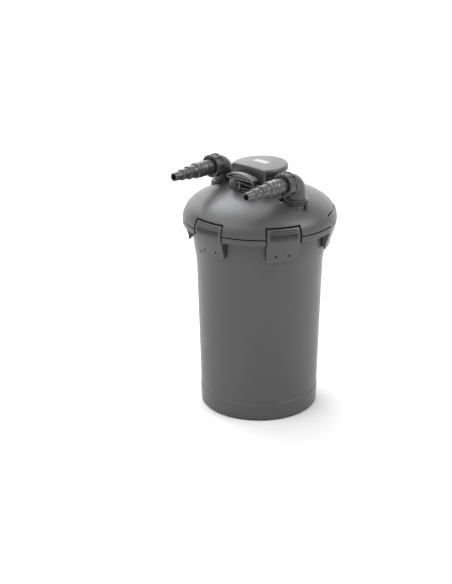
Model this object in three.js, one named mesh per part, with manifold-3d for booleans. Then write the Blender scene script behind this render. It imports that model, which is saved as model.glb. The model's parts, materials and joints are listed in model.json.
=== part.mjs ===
// Pressurized pond filter: a tall round canister with a domed lid held down by six
// hinged latches, two swivelling hose elbows, a lamp head with its quartz sleeve, and a
// pull handle that squeezes the ring foams inside.
// Units are millimetres, +Z is up, the origin is the centre of the base's underside and
// the hose tails point along -Y, which is the front. Left is -X.
import * as THREE from 'three';
import { mergeVertices } from 'three/addons/utils/BufferGeometryUtils.js';
import Module from 'manifold-3d';

const wasm = await Module();
wasm.setup();

// ---------------------------------------------------------------- driving dimensions
const SEGS = 36;                 // facets round the canister and lid
const WALL = 5;                  // canister floor, and its wall at the neck
const SEAM_Z = 489.0;            // top of the canister's flange
const LID_Z = 489.7;             // underside of the lid's rim
const RIM_R = 190;               // outer radius of flange and lid rim
const NECK_R = 164.5;            // canister outside under the flange
const LATCH_COUNT = 6;
const LATCH_HALF = 13;           // half width of a latch, degrees
const POCKET_HALF = 13.65;       // half width of the pocket a latch lies in, degrees
const POCKET_R = 183.5;          // floor of that pocket
const POCKET_TOP_R = 171.2;      // the floor's radius at its top
const POCKET_TOP = 516.2;
const POCKET_REACH = 205;        // pocket cutters end here, outside the rim
const PIN_R = 169.6;             // latch pivot, distance from the axis
const PIN_Z = 430.0;             // latch pivot height
const BARREL_R = 4.6;            // rounding of lug and latch barrel about the pivot
const PORT_X = 118;              // hose elbows, one at each side
const PORT_Y = -3;
const PAD_Z = 550;               // flat that an elbow's collar sits on
const PAD_R = 33;
const EAR_R = 35;                // collar screws, distance from the elbow's axis
const TAIL_Z = 603;              // height of the hose tails' axis
const PIPE_R = 23.5;             // elbow, outside
const BEND_R = 25;               // elbow's bend, on the pipe's axis
const NUT_R = 28;
const HEAD_R = 69;               // lamp head
const HEAD_FLAT = -43;           // flat front of the lamp head
const HEAD_TOP = 623;
const CAP_LOW = 588.3;           // lower edge of the lamp cap's front
const CABLE_Z = 594;             // height at which the cable leaves the lamp head
const ROD_X = 27;                // pull rods, one at each side
const ROD_Y = -57;
const ROD_R = 4;
const FOAM_R = 136;
const FOAM_LOW = 52.4;
const FOAM_HIGH = 461.6;
const FOAM_COUNT = 4;
const FOAM_GAP = 0.2;            // taken off each end of a foam

const SIDES = { left: -1, right: 1 };   // sign of x
const LATCH_ANGLES = Array.from({ length: LATCH_COUNT }, (_, i) => -90 + 360 / LATCH_COUNT * i);

// ---------------------------------------------------------------- materials
const SHELL = 0x55565a;
const FITTING = 0x3a3b3e;
const DARK = 0x232426;
const RUBBER = 0x151515;
const STEEL = { color: 0xb8babd, metalness: 0.9 };
const FINISH = {
  canister: { color: SHELL, roughness: 0.42 },
  lid: { color: SHELL, roughness: 0.4 },
  fitting: { color: FITTING, roughness: 0.42 },
  fittingMatt: { color: FITTING, roughness: 0.45 },
  tail: { color: DARK, roughness: 0.45 },
  dark: { color: DARK, roughness: 0.5 },
  grid: { color: DARK, roughness: 0.55 },
  seal: { color: RUBBER, roughness: 0.8 },
  cable: { color: RUBBER, roughness: 0.7 },
  screw: { ...STEEL, roughness: 0.35 },
  pin: { ...STEEL, roughness: 0.3 },
  rod: { ...STEEL, roughness: 0.25 },
  quartz: { color: 0xdfe8ee, roughness: 0.05 },
  lamp: { color: 0xf2f4f6, roughness: 0.2 },
  holder: { color: 0xe6e4df, roughness: 0.5 },
  board: { color: 0x2f5a3a, roughness: 0.6 },
  foamBlue: { color: 0x2c4a68, roughness: 0.95 },
  foamGrey: { color: 0x2f3033, roughness: 0.95 },
};

const root = new THREE.Group();
function add(name, man, finish) {
  const { vertProperties, triVerts } = man.getMesh();
  const geometry = new THREE.BufferGeometry();
  geometry.setAttribute('position', new THREE.Float32BufferAttribute(vertProperties, 3));
  geometry.setIndex(new THREE.Uint32BufferAttribute(triVerts, 1));
  const material = new THREE.MeshStandardMaterial({ flatShading: true, ...finish });
  const mesh = new THREE.Mesh(geometry, material);
  mesh.name = name;
  root.add(mesh);
}

// ---------------------------------------------------------------- helpers
const DEG = Math.PI / 180;
const move = (x, y, z) => new THREE.Matrix4().makeTranslation(x, y, z);
const turned = (man, deg) => man.transform(new THREE.Matrix4().makeRotationZ(deg * DEG).elements);
const cutAll = (man, tools) => tools.reduce((rest, tool) => rest.subtract(tool), man);
// quarter turn about X: +Y goes to +Z, and +Z to -Y
const TURN_X = new THREE.Matrix4().makeRotationX(Math.PI / 2);

// Manifold solid of a closed geometry: welded, without slivers, facing outwards
function solid(geometry, matrix) {
  const source = geometry.index ? geometry.toNonIndexed() : geometry;
  const bare = new THREE.BufferGeometry();
  bare.setAttribute('position', source.getAttribute('position'));
  if (matrix) bare.applyMatrix4(matrix);
  const { attributes: { position }, index: { array: index } } = mergeVertices(bare, 1e-4);
  const vertex = (i) => new THREE.Vector3().fromBufferAttribute(position, i);
  const tri = [];
  let volume = 0;
  for (let i = 0; i < index.length; i += 3) {
    const [a, b, c] = index.slice(i, i + 3);
    if (a === b || b === c || a === c) continue;
    tri.push(a, b, c);
    volume += vertex(a).dot(vertex(b).cross(vertex(c)));
  }
  if (volume < 0) {
    for (let i = 0; i < tri.length; i += 3) [tri[i + 1], tri[i + 2]] = [tri[i + 2], tri[i + 1]];
  }
  return new wasm.Manifold(new wasm.Mesh({
    numProp: 3,
    vertProperties: new Float32Array(position.array),
    triVerts: new Uint32Array(tri),
  }));
}

// profile of [radius, z] turned about a vertical axis at x, y
function lathe(profile, segs = SEGS, x = 0, y = 0) {
  const closed = [...profile];
  if (profile[0][0] > 0 || profile.at(-1)[0] > 0) closed.push(profile[0]);
  const geometry = new THREE.LatheGeometry(closed.map(([r, z]) => new THREE.Vector2(r, z)), segs);
  geometry.applyMatrix4(TURN_X);
  return solid(geometry, move(x, y, 0));
}
const cyl = (r, z0, z1, segs = 16, x = 0, y = 0) =>
  lathe([[0, z0], [r, z0], [r, z1], [0, z1]], segs, x, y);
const ring = (r0, r1, z0, z1, segs) => lathe([[r0, z0], [r1, z0], [r1, z1], [r0, z1]], segs);
const cylY = (r, y0, y1, z, segs) =>
  solid(new THREE.CylinderGeometry(r, r, y1 - y0, segs), move(0, (y0 + y1) / 2, z));
const box = (x0, x1, y0, y1, z0, z1) => solid(
  new THREE.BoxGeometry(x1 - x0, y1 - y0, z1 - z0),
  move((x0 + x1) / 2, (y0 + y1) / 2, (z0 + z1) / 2),
);

const shapeOf = (points) => new THREE.Shape(points.map(([x, y]) => new THREE.Vector2(x, y)));
function prism(points, z0, z1, matrix) {
  const settings = { depth: z1 - z0, bevelEnabled: false };
  const geometry = new THREE.ExtrudeGeometry(shapeOf(points), settings);
  geometry.translate(0, 0, z0);
  return solid(geometry, matrix);
}
// prism whose outline of [x, z] runs along Y
const prismY = (points, y0, y1) => prism(points, -y1, -y0, TURN_X);
const sweep = (points, extrudePath, steps) =>
  solid(new THREE.ExtrudeGeometry(shapeOf(points), { steps, bevelEnabled: false, extrudePath }));

// sector round +X, reaching beyond the rim
function wedge(halfAngle, z0, z1) {
  const reach = 260;
  const halfWidth = reach * Math.tan(halfAngle * DEG);
  return prism([[0, 0], [reach, -halfWidth], [reach, halfWidth]], z0, z1);
}
// both ends included, angles in degrees
const arc = (r, from, span, steps, cx = 0, cy = 0) => Array.from({ length: steps + 1 }, (_, i) => {
  const angle = (from + span * i / steps) * DEG;
  return [cx + r * Math.cos(angle), cy + r * Math.sin(angle)];
});
const circle = (r, count, cx = 0, cy = 0, from = 0) =>
  arc(r, from, 360, count, cx, cy).slice(0, -1);
// disc with its front cut flat at y = flat, and the two corners clipped
function dee(r, flat, clip) {
  const start = Math.atan2(flat, Math.sqrt(r * r - flat * flat)) / DEG;
  const points = arc(r, start, 180 - 2 * start, 18);
  const [cornerX] = points[0];
  const corner = (s) => [
    [s * cornerX * 0.995, flat + clip * 0.55],
    [s * (cornerX - clip * 0.25), flat + clip * 0.12],
    [s * (cornerX - clip), flat],
  ];
  return [...points.slice(1, -1), ...corner(-1), ...corner(1).reverse()];
}

// bar on the latch pivot
const pivotBar = (r, y0, y1) => prismY(circle(r, 6, PIN_R, PIN_Z), y0, y1);
const rodHoles = (r, z0, z1, segs = 12) =>
  Object.values(SIDES).map((s) => cyl(r, z0, z1, segs, s * ROD_X, ROD_Y));
// the three collar ears, relative to the elbow's axis
const earSpots = (s) => [0, 120, 240].map(
  (angle) => [s * EAR_R * Math.cos(angle * DEG), EAR_R * Math.sin(angle * DEG)],
);

// ---------------------------------------------------------------- canister
// [radius, z], up the outside and down the inside
const CANISTER_PROFILE = [
  [0, 0], [142.5, 0], [145.6, 1.4], [146.8, 4.5], [148.1, 46.0], [147.1, 47.4],
  [156.9, 396], [158.0, 399.5], [161.4, 408], [163.6, 414.5], [NECK_R, 420], [NECK_R, 473.6],
  [188.2, 474.6], [RIM_R, 477], [RIM_R, SEAM_Z], [NECK_R - WALL, SEAM_Z],
  [NECK_R - WALL, 418], [152.6, 397], [141.4, 8], [139, WALL], [0, WALL],
];

// stands off the wall under the flange and holds a latch's pivot pin
function latchLug() {
  const outline = [
    [162, PIN_Z - 7.5],
    ...arc(BARREL_R, -100, 190, 5, PIN_R, PIN_Z),
    [PIN_R - 1, PIN_Z + 5.6], [162, PIN_Z + 11],
  ];
  return prismY(outline, -7.5, 7.5).subtract(pivotBar(1.9, -9, 9));
}

function canister() {
  const notch = ring(POCKET_R, POCKET_REACH, 468, 496, SEGS)
    .intersect(wedge(POCKET_HALF, 460, 500));
  const lug = latchLug();
  return LATCH_ANGLES.reduce(
    (body, angle) => body.subtract(turned(notch, angle)).add(turned(lug, angle)),
    lathe(CANISTER_PROFILE),
  );
}
add('container', canister(), FINISH.canister);

// ---------------------------------------------------------------- latches
// [radius, z], down the inner face and up the outer one
const LATCH_PROFILE = [
  [182, 514], [172.7, 514], [184.3, 500.2], [184.3, 473.2], [180.4, 462], [172.4, 440.5],
  [171.2, 434.4], [174.1, 431.5], [176.4, 440], [181, 453], [186, 468], [189, 484], [189, 500],
];
// [x, z] of the web that joins plate and barrel
const RIB_OUTLINE = [
  [174.5, 430.5], [176.5, 441], [182, 459], [185.4, 472], [166.1, 472], [166.1, 436], [170, 430.5],
];
const PIVOT_HOLE_R = 1.7;

function latchPlate() {
  // clear of the lug in the middle, with a radial hole at each side
  const lugGap = box(150, 200, -8.1, 8.1, 420, PIN_Z + 5.3);
  const hole = (y) => {
    const along = new THREE.CylinderGeometry(2, 2, 60, 6).applyMatrix4(TURN_X);
    return solid(along.rotateY(Math.PI / 2), move(180, y, 441));
  };
  const plate = lathe(LATCH_PROFILE).intersect(wedge(LATCH_HALF, 400, 540));
  return cutAll(plate, [lugGap, hole(17.3), hole(-17.3)]);
}

// straight hinge barrel between two stations on Y
function latchBarrel(y0, y1) {
  const outline = [...arc(BARREL_R, -250, 250, 6, PIN_R, PIN_Z), [174.2, 436], [170.6, 436.5]];
  return prismY(outline, y0, y1).subtract(pivotBar(PIVOT_HOLE_R, y0 - 1, y1 + 1));
}

function latch() {
  const rib = (angle) => turned(prismY(RIB_OUTLINE, -1.25, 1.25), angle);
  return latchPlate()
    .add(latchBarrel(-38.4, -8)).add(latchBarrel(8, 38.4))
    .add(rib(-12)).add(rib(12))
    .subtract(pivotBar(PIVOT_HOLE_R, -45, 45));   // clears plate and ribs off the pin
}

const latchBody = latch();
const latchPin = pivotBar(1.4, -38, 38);
LATCH_ANGLES.forEach((angle, i) => {
  add(`latch_${i + 1}`, turned(latchBody, angle), FINISH.lid);
  add(`latch_pin_${i + 1}`, turned(latchPin, angle), FINISH.pin);
});

// ---------------------------------------------------------------- lid
// [radius, z] of the dome's outside, from the axis down to the rim
const DOME_PROFILE = [
  [0, 578], [41.8, 573.4], [87.2, 564.2], [118.7, 555], [142, 545.7], [159.4, 536.5],
  [171.9, 527.3], [180.6, 518], [187.7, 504.2], [189.6, 495], [RIM_R - 0.1, LID_Z],
];
// [radius, z] round the spigot with its seal groove, then up the inside to the axis
const LID_INNER_PROFILE = [
  [156.5, LID_Z], [156.5, 480.4], [153.4, 480.4], [153.4, 473.6], [156.5, 473.6], [156.5, 466],
  [151.5, 466], [151.5, 500], [163, 509], [163, 521], [136, 539.5], [100, 552.6], [50, 565],
  [0, 571],
];
const POCKET_PROFILE = [
  [POCKET_R, 480], [POCKET_REACH, 480], [POCKET_REACH, POCKET_TOP],
  [POCKET_TOP_R, POCKET_TOP], [POCKET_TOP_R, 514.66], [POCKET_R, 500],
];
const EAR_SEAT_Z = 544.7;

// flat pad, screw seats and stepped socket of one hose elbow
function withPort(lid, s) {
  const x = s * PORT_X;
  const ears = earSpots(s).map(([dx, dy]) => [x + dx, PORT_Y + dy]);
  const atPort = (r, z0, z1, segs) => cyl(r, z0, z1, segs, x, PORT_Y);
  let body = lid.add(atPort(PAD_R, 532, PAD_Z, 18)).add(atPort(27, 520, 545, 14));
  for (const ear of ears) body = body.add(cyl(6.9, 536, EAR_SEAT_Z, 8, ...ear));
  return cutAll(body, [
    atPort(PAD_R + 0.6, PAD_Z, 580, 18),
    ...ears.flatMap((ear) => [
      cyl(7.4, EAR_SEAT_Z, 580, 8, ...ear),
      cyl(2.3, 528, 560, 6, ...ear),
    ]),
    atPort(20.7, 528, 560, 16),
    atPort(13.5, 510, 540, 12),
    atPort(27.2, 543, 560, 16),
  ]);
}

function domedLid() {
  const pocket = lathe(POCKET_PROFILE).intersect(wedge(POCKET_HALF, 470, 530));
  let lid = lathe([...DOME_PROFILE, ...LID_INNER_PROFILE]);
  lid = cutAll(lid, LATCH_ANGLES.map((angle) => turned(pocket, angle)));
  for (const s of Object.values(SIDES)) lid = withPort(lid, s);
  // seat of the lamp head, and the holes for the pull rods' glands
  lid = lid.add(cyl(30.5, 566, 581)).subtract(cyl(26.4, 540, 590));
  return cutAll(lid, rodHoles(6.6, 550, 580));
}
add('lid', domedLid(), FINISH.lid);
// ring seal round the lid's spigot
const RIM_SEAL_PROFILE = [[153.8, 474.4], [158.9, 475.4], [158.9, 478.6], [153.8, 479.6]];
add('rim_seal', lathe(RIM_SEAL_PROFILE), FINISH.seal);

// ---------------------------------------------------------------- hose elbows
// Built round the port's own vertical axis. Profiles are [radius, z]; for the tail and
// its seal the second column is the distance in front of that axis.
const COLLAR_LOW = PAD_Z + 0.3;
const COLLAR_BORE = 24.9;
const COLLAR_PROFILE = [
  [COLLAR_BORE, COLLAR_LOW], [31, COLLAR_LOW], [31, 555], [27.5, 556], [27.5, 560],
  [COLLAR_BORE, 560],
];
const SCREW_PROFILE = [[0, 531], [1.8, 531], [1.8, 552.3], [3.6, 552.3], [3.6, 554.6], [0, 554.6]];
const ELBOW_SEAL_PROFILE = [[18.4, 534.6], [20.2, 534.6], [20.2, 538], [18.4, 538]];
const TAIL_PROFILE = [
  [16, 44.6], [24, 44.6], [24, 47.2], [18.6, 47.4], [18.4, 80], [19.4, 82.5], [17.6, 90],
  [19.4, 103], [16.2, 104], [15.4, 116], [16.6, 128], [13.4, 129], [13.8, 151], [10.8, 152],
  [10.3, 176], [7.4, 176], [13, 100],
];
const TAIL_SEAL_PROFILE = [[17, 44.1], [20.8, 44.1], [20.8, 44.4], [17, 44.4]];

// ring with three screw ears that holds the elbow's foot down
function portCollar(s) {
  const ears = earSpots(s);
  let collar = lathe(COLLAR_PROFILE, 16);
  for (const ear of ears) {
    const padSpace = cyl(33.9, 530, COLLAR_LOW, 20);
    collar = collar.add(cyl(6, 545.0, 552, 8, ...ear).subtract(padSpace));
  }
  collar = collar.subtract(cyl(COLLAR_BORE, 540, 570));
  return cutAll(collar, ears.map((ear) => cyl(2.4, 540, 560, 6, ...ear)));
}

// up from z0, round the bend, then forward to y = -reach
function elbowPath(z0, reach) {
  const point = (y, z) => new THREE.Vector3(0, y, z);
  const bendStart = point(0, TAIL_Z - BEND_R);
  const bendEnd = point(-BEND_R, TAIL_Z);
  const handle = BEND_R * 0.5523;       // Bezier handle of a quarter circle
  const path = new THREE.CurvePath();
  path.add(new THREE.LineCurve3(point(0, z0), bendStart));
  path.add(new THREE.CubicBezierCurve3(
    bendStart, point(0, TAIL_Z - BEND_R + handle), point(-BEND_R + handle, TAIL_Z), bendEnd,
  ));
  path.add(new THREE.LineCurve3(bendEnd, point(-reach, TAIL_Z)));
  return path;
}

// bent pipe with a foot under the collar, a plug in the socket and a spigot in front
function elbow() {
  const pipe = (r, sides, z0, reach, steps) =>
    sweep(circle(r, sides, 0, 0, 180 / sides), elbowPath(z0, reach), steps);
  const body = pipe(PIPE_R, 14, 548, 29, 8)
    .add(cyl(26.4, 543.5, 549.6, 14))
    .add(cyl(20, 530, 545, 14))
    .add(cylY(21.5, -44, -24, TAIL_Z, 14));
  const sealGroove = ring(18, 24, 534, 538.6, 14);
  const bore = pipe(15.5, 8, 525, 50, 7);
  return cutAll(body, [sealGroove, bore]);
}

// twelve grip ridges outside, an inward lip at the back and at the front
function unionNut() {
  const outline = circle(1, 24).map(([x, y], i) => {
    const r = i % 2 ? NUT_R : NUT_R - 1.4;
    return [r * x, r * y];
  });
  return cutAll(prism(outline, 24, 49.4), [cyl(23.4, 20, 60, 14), cyl(25.6, 20, 47.6, 14)]);
}

// lays a piece built along +Z onto the tail's axis, pointing along -Y
const toTail = (man) => man.transform(move(0, 0, TAIL_Z).multiply(TURN_X).elements);

for (const [side, s] of Object.entries(SIDES)) {
  const addAtPort = (name, man, finish) =>
    add(`${name}_${side}`, man.transform(move(s * PORT_X, PORT_Y, 0).elements), finish);
  addAtPort('port_collar', portCollar(s), FINISH.fittingMatt);
  earSpots(s).forEach(([dx, dy], i) => {
    const screw = lathe(SCREW_PROFILE, 8, s * PORT_X + dx, PORT_Y + dy);
    add(`collar_screw_${side}_${i + 1}`, screw, FINISH.screw);
  });
  addAtPort('elbow', elbow(), FINISH.fitting);
  addAtPort('elbow_seal', lathe(ELBOW_SEAL_PROFILE, 14), FINISH.seal);
  addAtPort('union_nut', toTail(unionNut()), FINISH.dark);
  addAtPort('hose_tail', toTail(lathe(TAIL_PROFILE, 12)), FINISH.tail);
  addAtPort('tail_seal', toTail(lathe(TAIL_SEAL_PROFILE, 16)), FINISH.seal);
}

// ---------------------------------------------------------------- lamp head
// [radius, z]; the sleeve is closed at the bottom and hangs from its flange
const SLEEVE_PROFILE = [
  [0, 300], [15, 303], [22, 316], [22, 585], [27, 585], [27, 587.6], [20.2, 587.6],
  [20.2, 318], [0, 305],
];
const SLEEVE_SEAL_PROFILE = [[22.4, 574.4], [25.6, 574.4], [25.6, 577.8], [22.4, 577.8]];
const DOME_CLEARANCE_PROFILE = [[0, 560], [75, 560], [75, 568.6], [41.8, 574.9], [0, 579.8]];
// [radius, y]
const GLAND_PROFILE = [[3.9, 57], [4.7, 57], [4.7, 65.4], [8, 65.4], [6, 78], [3.9, 78]];

// hollow top with a front wall that reaches further down
function lampCap() {
  const wall = 3.6;
  const plan = dee(HEAD_R, HEAD_FLAT, 9);
  const inside = dee(HEAD_R - wall, HEAD_FLAT + wall, 8);
  const front = box(-52, 52, -60, HEAD_FLAT + 3.4, CAP_LOW, 618);
  const top = prism(plan, 613, HEAD_TOP).subtract(prism(inside, 600, 619.6));
  const skirt = prism(plan, CAP_LOW, 613.5).subtract(prism(inside, 580, 620));
  return top.add(skirt.intersect(front));
}

// hollow above and below a floor, with its lower edge following the dome
function lampBase() {
  return cutAll(prism(dee(65, -38.4, 8), 571.6, 612.6), [
    prism(dee(61.4, -34.9, 7), 584.6, 620),
    prism(dee(58, -31.5, 6), 560, 581.4),
    lathe(DOME_CLEARANCE_PROFILE, 24),
    cyl(22.6, 575, 590),             // sleeve hole
    cylY(5, 52, 72, CABLE_Z, 12),    // cable hole
  ]);
}

// two tubes joined near the bottom, with a round cap on top
function lamp() {
  return cyl(6, 322, 566, 12, -8, 0)
    .add(cyl(6, 322, 566, 12, 8, 0))
    .add(box(-4, 4, -3, 3, 332, 338))
    .add(cyl(16, 564, 586));
}

// straight back through the gland, then down and to the left
function mainsCable() {
  const glandExit = new THREE.Vector3(0, 82, CABLE_Z);
  const path = new THREE.CurvePath();
  path.add(new THREE.LineCurve3(new THREE.Vector3(0, 55, CABLE_Z), glandExit));
  path.add(new THREE.CubicBezierCurve3(
    glandExit, new THREE.Vector3(0, 97, CABLE_Z),
    new THREE.Vector3(-14, 108, 592), new THREE.Vector3(-44, 112, 577),
  ));
  return sweep(circle(3.4, 8), path, 14);
}

const toBack = move(0, 0, CABLE_Z)       // +Z of the piece onto +Y
  .multiply(new THREE.Matrix4().makeRotationX(-Math.PI / 2));
const lampHolder = cyl(19, 588.2, 600).add(box(-24, 24, -6, 6, 588.2, 593));
add('uvc_cap', lampCap(), FINISH.fitting);
add('uvc_base', lampBase(), FINISH.dark);
add('quartz_sleeve', lathe(SLEEVE_PROFILE, 14), FINISH.quartz);
add('sleeve_seal', lathe(SLEEVE_SEAL_PROFILE, 14), FINISH.seal);
add('uvc_lamp', lamp(), FINISH.lamp);
add('lamp_holder', lampHolder, FINISH.holder);
add('ballast_board', box(-34, 34, 24, 46, 588, 606), FINISH.board);
add('cable_gland', lathe(GLAND_PROFILE, 10).transform(toBack.elements), FINISH.dark);
add('mains_cable', mainsCable(), FINISH.cable);

// ---------------------------------------------------------------- pull handle
// curved bracket on the dome in front of the lamp head, with a post in its middle
function handleBracket() {
  const r = 74.5;
  const low = 568.6;
  const crescent = (radius) => {
    const halfAngle = 48;
    const endX = radius * Math.sin(halfAngle * DEG);
    return [...arc(radius, -90 - halfAngle, 2 * halfAngle, 9), [endX, -45], [-endX, -45]];
  };
  const shelf = box(-46, 46, -75, -63, 584, 586).intersect(prism(crescent(r), 560, 600));
  let bracket = prism(crescent(r), low, 587)
    .subtract(prism(crescent(71), 560, 584))
    .add(box(-3, 3, -76, -70, low, 594))
    .add(shelf);
  const holes = rodHoles(ROD_R + 0.6, 560, 600);
  Object.values(SIDES).forEach((s, i) => {
    // an opening below and one above the middle rail on each side of the post
    const [x0, x1] = s < 0 ? [-36, -6] : [6, 36];
    const openings = [[571.5, 575.5], [578.5, 583.5]].map(([z0, z1]) => box(x0, x1, -90, -56, z0, z1));
    bracket = cutAll(bracket, [...openings, holes[i]]);
  });
  return bracket;
}

// arched above, hollow in front, with a socket for each rod
function handleGrip() {
  // [x, z] outline; the arch falls from mid at the centre to end at its ends
  const arch = ({ half, low, mid, end }) => {
    const points = [[-half, low], [half, low]];
    for (let i = 0; i <= 10; i++) {
      const t = 1 - 2 * i / 10;
      points.push([half * t, mid - (mid - end) * t * t]);
    }
    return points;
  };
  const body = prismY(arch({ half: 41, low: 596.6, mid: 614.5, end: 604 }), -75, -51.5);
  const hollow = prismY(arch({ half: 37.5, low: 599.6, mid: 611.2, end: 602 }), -80, -69);
  return cutAll(body, [hollow, ...rodHoles(ROD_R + 0.3, 590, 605)]);
}

// [radius, z]
const ROD_PROFILE = [[0, 41], [8, 41], [8, 45.6], [ROD_R, 45.6], [ROD_R, 604.6], [0, 604.6]];
const ROD_GLAND_PROFILE = [
  [ROD_R + 0.4, 561], [6.2, 561], [6.2, 571.3], [7.4, 571.3], [7.4, 575], [ROD_R + 0.4, 575],
];
add('handle_bracket', handleBracket(), FINISH.fittingMatt);
add('handle_grip', handleGrip(), FINISH.fitting);
for (const [side, s] of Object.entries(SIDES)) {
  add(`pull_rod_${side}`, lathe(ROD_PROFILE, 8, s * ROD_X, ROD_Y), FINISH.rod);
  add(`rod_gland_${side}`, lathe(ROD_GLAND_PROFILE, 8, s * ROD_X, ROD_Y), FINISH.dark);
}

// ---------------------------------------------------------------- filter insert
// the inlet pipe stands under the left port
const INLET = [-PORT_X, PORT_Y];
const INLET_PROFILE = [[10.6, 75], [13, 75], [13, 526], [10.6, 526]];

// ring with holes for the inlet pipe and the pull rods
function piercedRing({ bore, r, z0, z1, segs, pipeHole, pipeSegs, rodHole, rodSegs }) {
  const [low, high] = [z0 - 5, z1 + 5];
  return cutAll(ring(bore, r, z0, z1, segs), [
    cyl(pipeHole, low, high, pipeSegs, ...INLET),
    ...rodHoles(rodHole, low, high, rodSegs),
  ]);
}

// plate with five radial windows
function plate(r, z0, z1, bore) {
  const disc = piercedRing({
    bore, r, z0, z1, segs: 24, pipeHole: 14.4, pipeSegs: 10, rodHole: ROD_R + 0.5, rodSegs: 8,
  });
  const slot = box(75, 118, -9, 9, z0 - 5, z1 + 5);
  return cutAll(disc, [25, 65, 115, 305, 345].map((angle) => turned(slot, angle)));
}

function foam(i) {
  const pitch = (FOAM_HIGH - FOAM_LOW) / FOAM_COUNT;
  return piercedRing({
    bore: 42,
    r: FOAM_R,
    z0: FOAM_LOW + pitch * i + FOAM_GAP,
    z1: FOAM_LOW + pitch * (i + 1) - FOAM_GAP,
    segs: 20,
    pipeHole: 14.6,
    pipeSegs: 8,
    rodHole: ROD_R + 1.2,
    rodSegs: 6,
  });
}

add('inlet_pipe', lathe(INLET_PROFILE, 12, ...INLET), FINISH.dark);
add('top_grid', plate(150.5, 462.2, 468, 27), FINISH.grid);
add('bottom_plate', plate(135, 46, 52, 40), FINISH.grid);
for (let i = 0; i < FOAM_COUNT; i++) {
  add(`foam_${i + 1}`, foam(i), i < 2 ? FINISH.foamBlue : FINISH.foamGrey);
}

export default root;
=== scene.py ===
"""Looks of a pressurized pond filter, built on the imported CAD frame.

The canister stands on z = 0 round the Z axis. Its lid carries the ultraviolet lamp head in the
middle, a hose elbow at each side (left is -X) whose tail points to the front (-Y), and a pull
handle in front; the mains cable leaves at the back (+Y). Shape code is in millimetres and
degrees, materials and stage are in metres.
"""

import json
from math import acos, atan2, cos, degrees, exp, hypot, pi, sin, sqrt, tan

import bmesh
import bpy
import numpy as np
from mathutils import Matrix, Vector


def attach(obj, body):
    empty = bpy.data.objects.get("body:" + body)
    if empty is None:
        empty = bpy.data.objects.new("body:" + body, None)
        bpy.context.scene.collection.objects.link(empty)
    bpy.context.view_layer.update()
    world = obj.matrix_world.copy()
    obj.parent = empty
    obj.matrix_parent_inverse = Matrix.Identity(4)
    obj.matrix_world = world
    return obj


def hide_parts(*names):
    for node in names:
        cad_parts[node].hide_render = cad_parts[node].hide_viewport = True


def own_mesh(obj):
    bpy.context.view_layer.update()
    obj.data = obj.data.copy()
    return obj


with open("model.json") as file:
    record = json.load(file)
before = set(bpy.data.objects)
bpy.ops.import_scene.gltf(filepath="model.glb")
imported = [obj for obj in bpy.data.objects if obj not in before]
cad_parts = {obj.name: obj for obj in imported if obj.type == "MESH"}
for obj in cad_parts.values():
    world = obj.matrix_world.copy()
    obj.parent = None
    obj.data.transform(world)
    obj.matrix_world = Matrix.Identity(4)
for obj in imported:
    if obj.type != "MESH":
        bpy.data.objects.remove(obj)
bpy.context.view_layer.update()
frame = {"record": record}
BODIES = frame["record"]["behaviour"]["bodies"]
BODY_OF = {node: body for body, nodes in BODIES.items() for node in nodes}
MM = 0.001
DEG = pi / 180
SCENE = bpy.context.scene
SIDES = {"left": -1, "right": 1}

# ------------------------------------------------------------------ shared dimensions
RIM_R, SEAM_Z, LID_Z = 190.0, 489.0, 489.7  # canister rim, its top and the lid's underside
NOTCH_R, NOTCH_HALF = 183.5, 13.8  # latch pockets: floor radius, half width in degrees
LATCH_ANGLES = [-90 + 60 * i for i in range(6)]
PIN_R, PIN_Z = 169.6, 430.0  # latch hinge pins
PORT_X, PORT_Y, PAD_Z = 118.0, -3.0, 550.0  # hose ports and the top of their pads
EAR_R, EAR_ANGLES = 35, (0, 120, 240)  # screw ears round a port
TAIL_Z, PIPE_R, BEND = 603.0, 23.5, 25.0  # elbow: outlet height, pipe radius, bend radius
HEAD_R, HEAD_FLAT, HEAD_CORNER = 69.0, -43.0, 9  # lamp head: radius, y of its flat front
CABLE_Z = 594
ROD_X, ROD_Y, ROD_R = 27.0, -57.0, 4.0  # pull rods


# ------------------------------------------------------------------ curves and outlines
def polar(radius, angle, center=(0, 0)):
    """Point at an angle in radians."""
    return center[0] + radius * cos(angle), center[1] + radius * sin(angle)


def soft(t):
    """Smooth step from 0 to 1."""
    t = max(0.0, min(1.0, t))
    return t * t * (3 - 2 * t)


def spline(points, steps=4, level_end=False):
    """Catmull-Rom curve through the points; level_end levels it at a last point on the axis."""
    knots = [np.array(point, float) for point in points]
    if level_end:
        beyond = np.array((-knots[-2][0], knots[-2][1]))
    else:
        beyond = 2 * knots[-1] - knots[-2]
    knots = [2 * knots[0] - knots[1], *knots, beyond]
    curve = []
    for i in range(1, len(knots) - 2):
        before, start, end, after = knots[i - 1 : i + 3]
        square = 2 * before - 5 * start + 4 * end - after
        cube = 3 * start - before - 3 * end + after
        for k in range(steps):
            t = k / steps
            point = 0.5 * ((2 * start) + (end - before) * t + square * t * t + cube * t**3)
            curve.append(tuple(point))
    curve.append(tuple(knots[-2]))
    return curve


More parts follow.
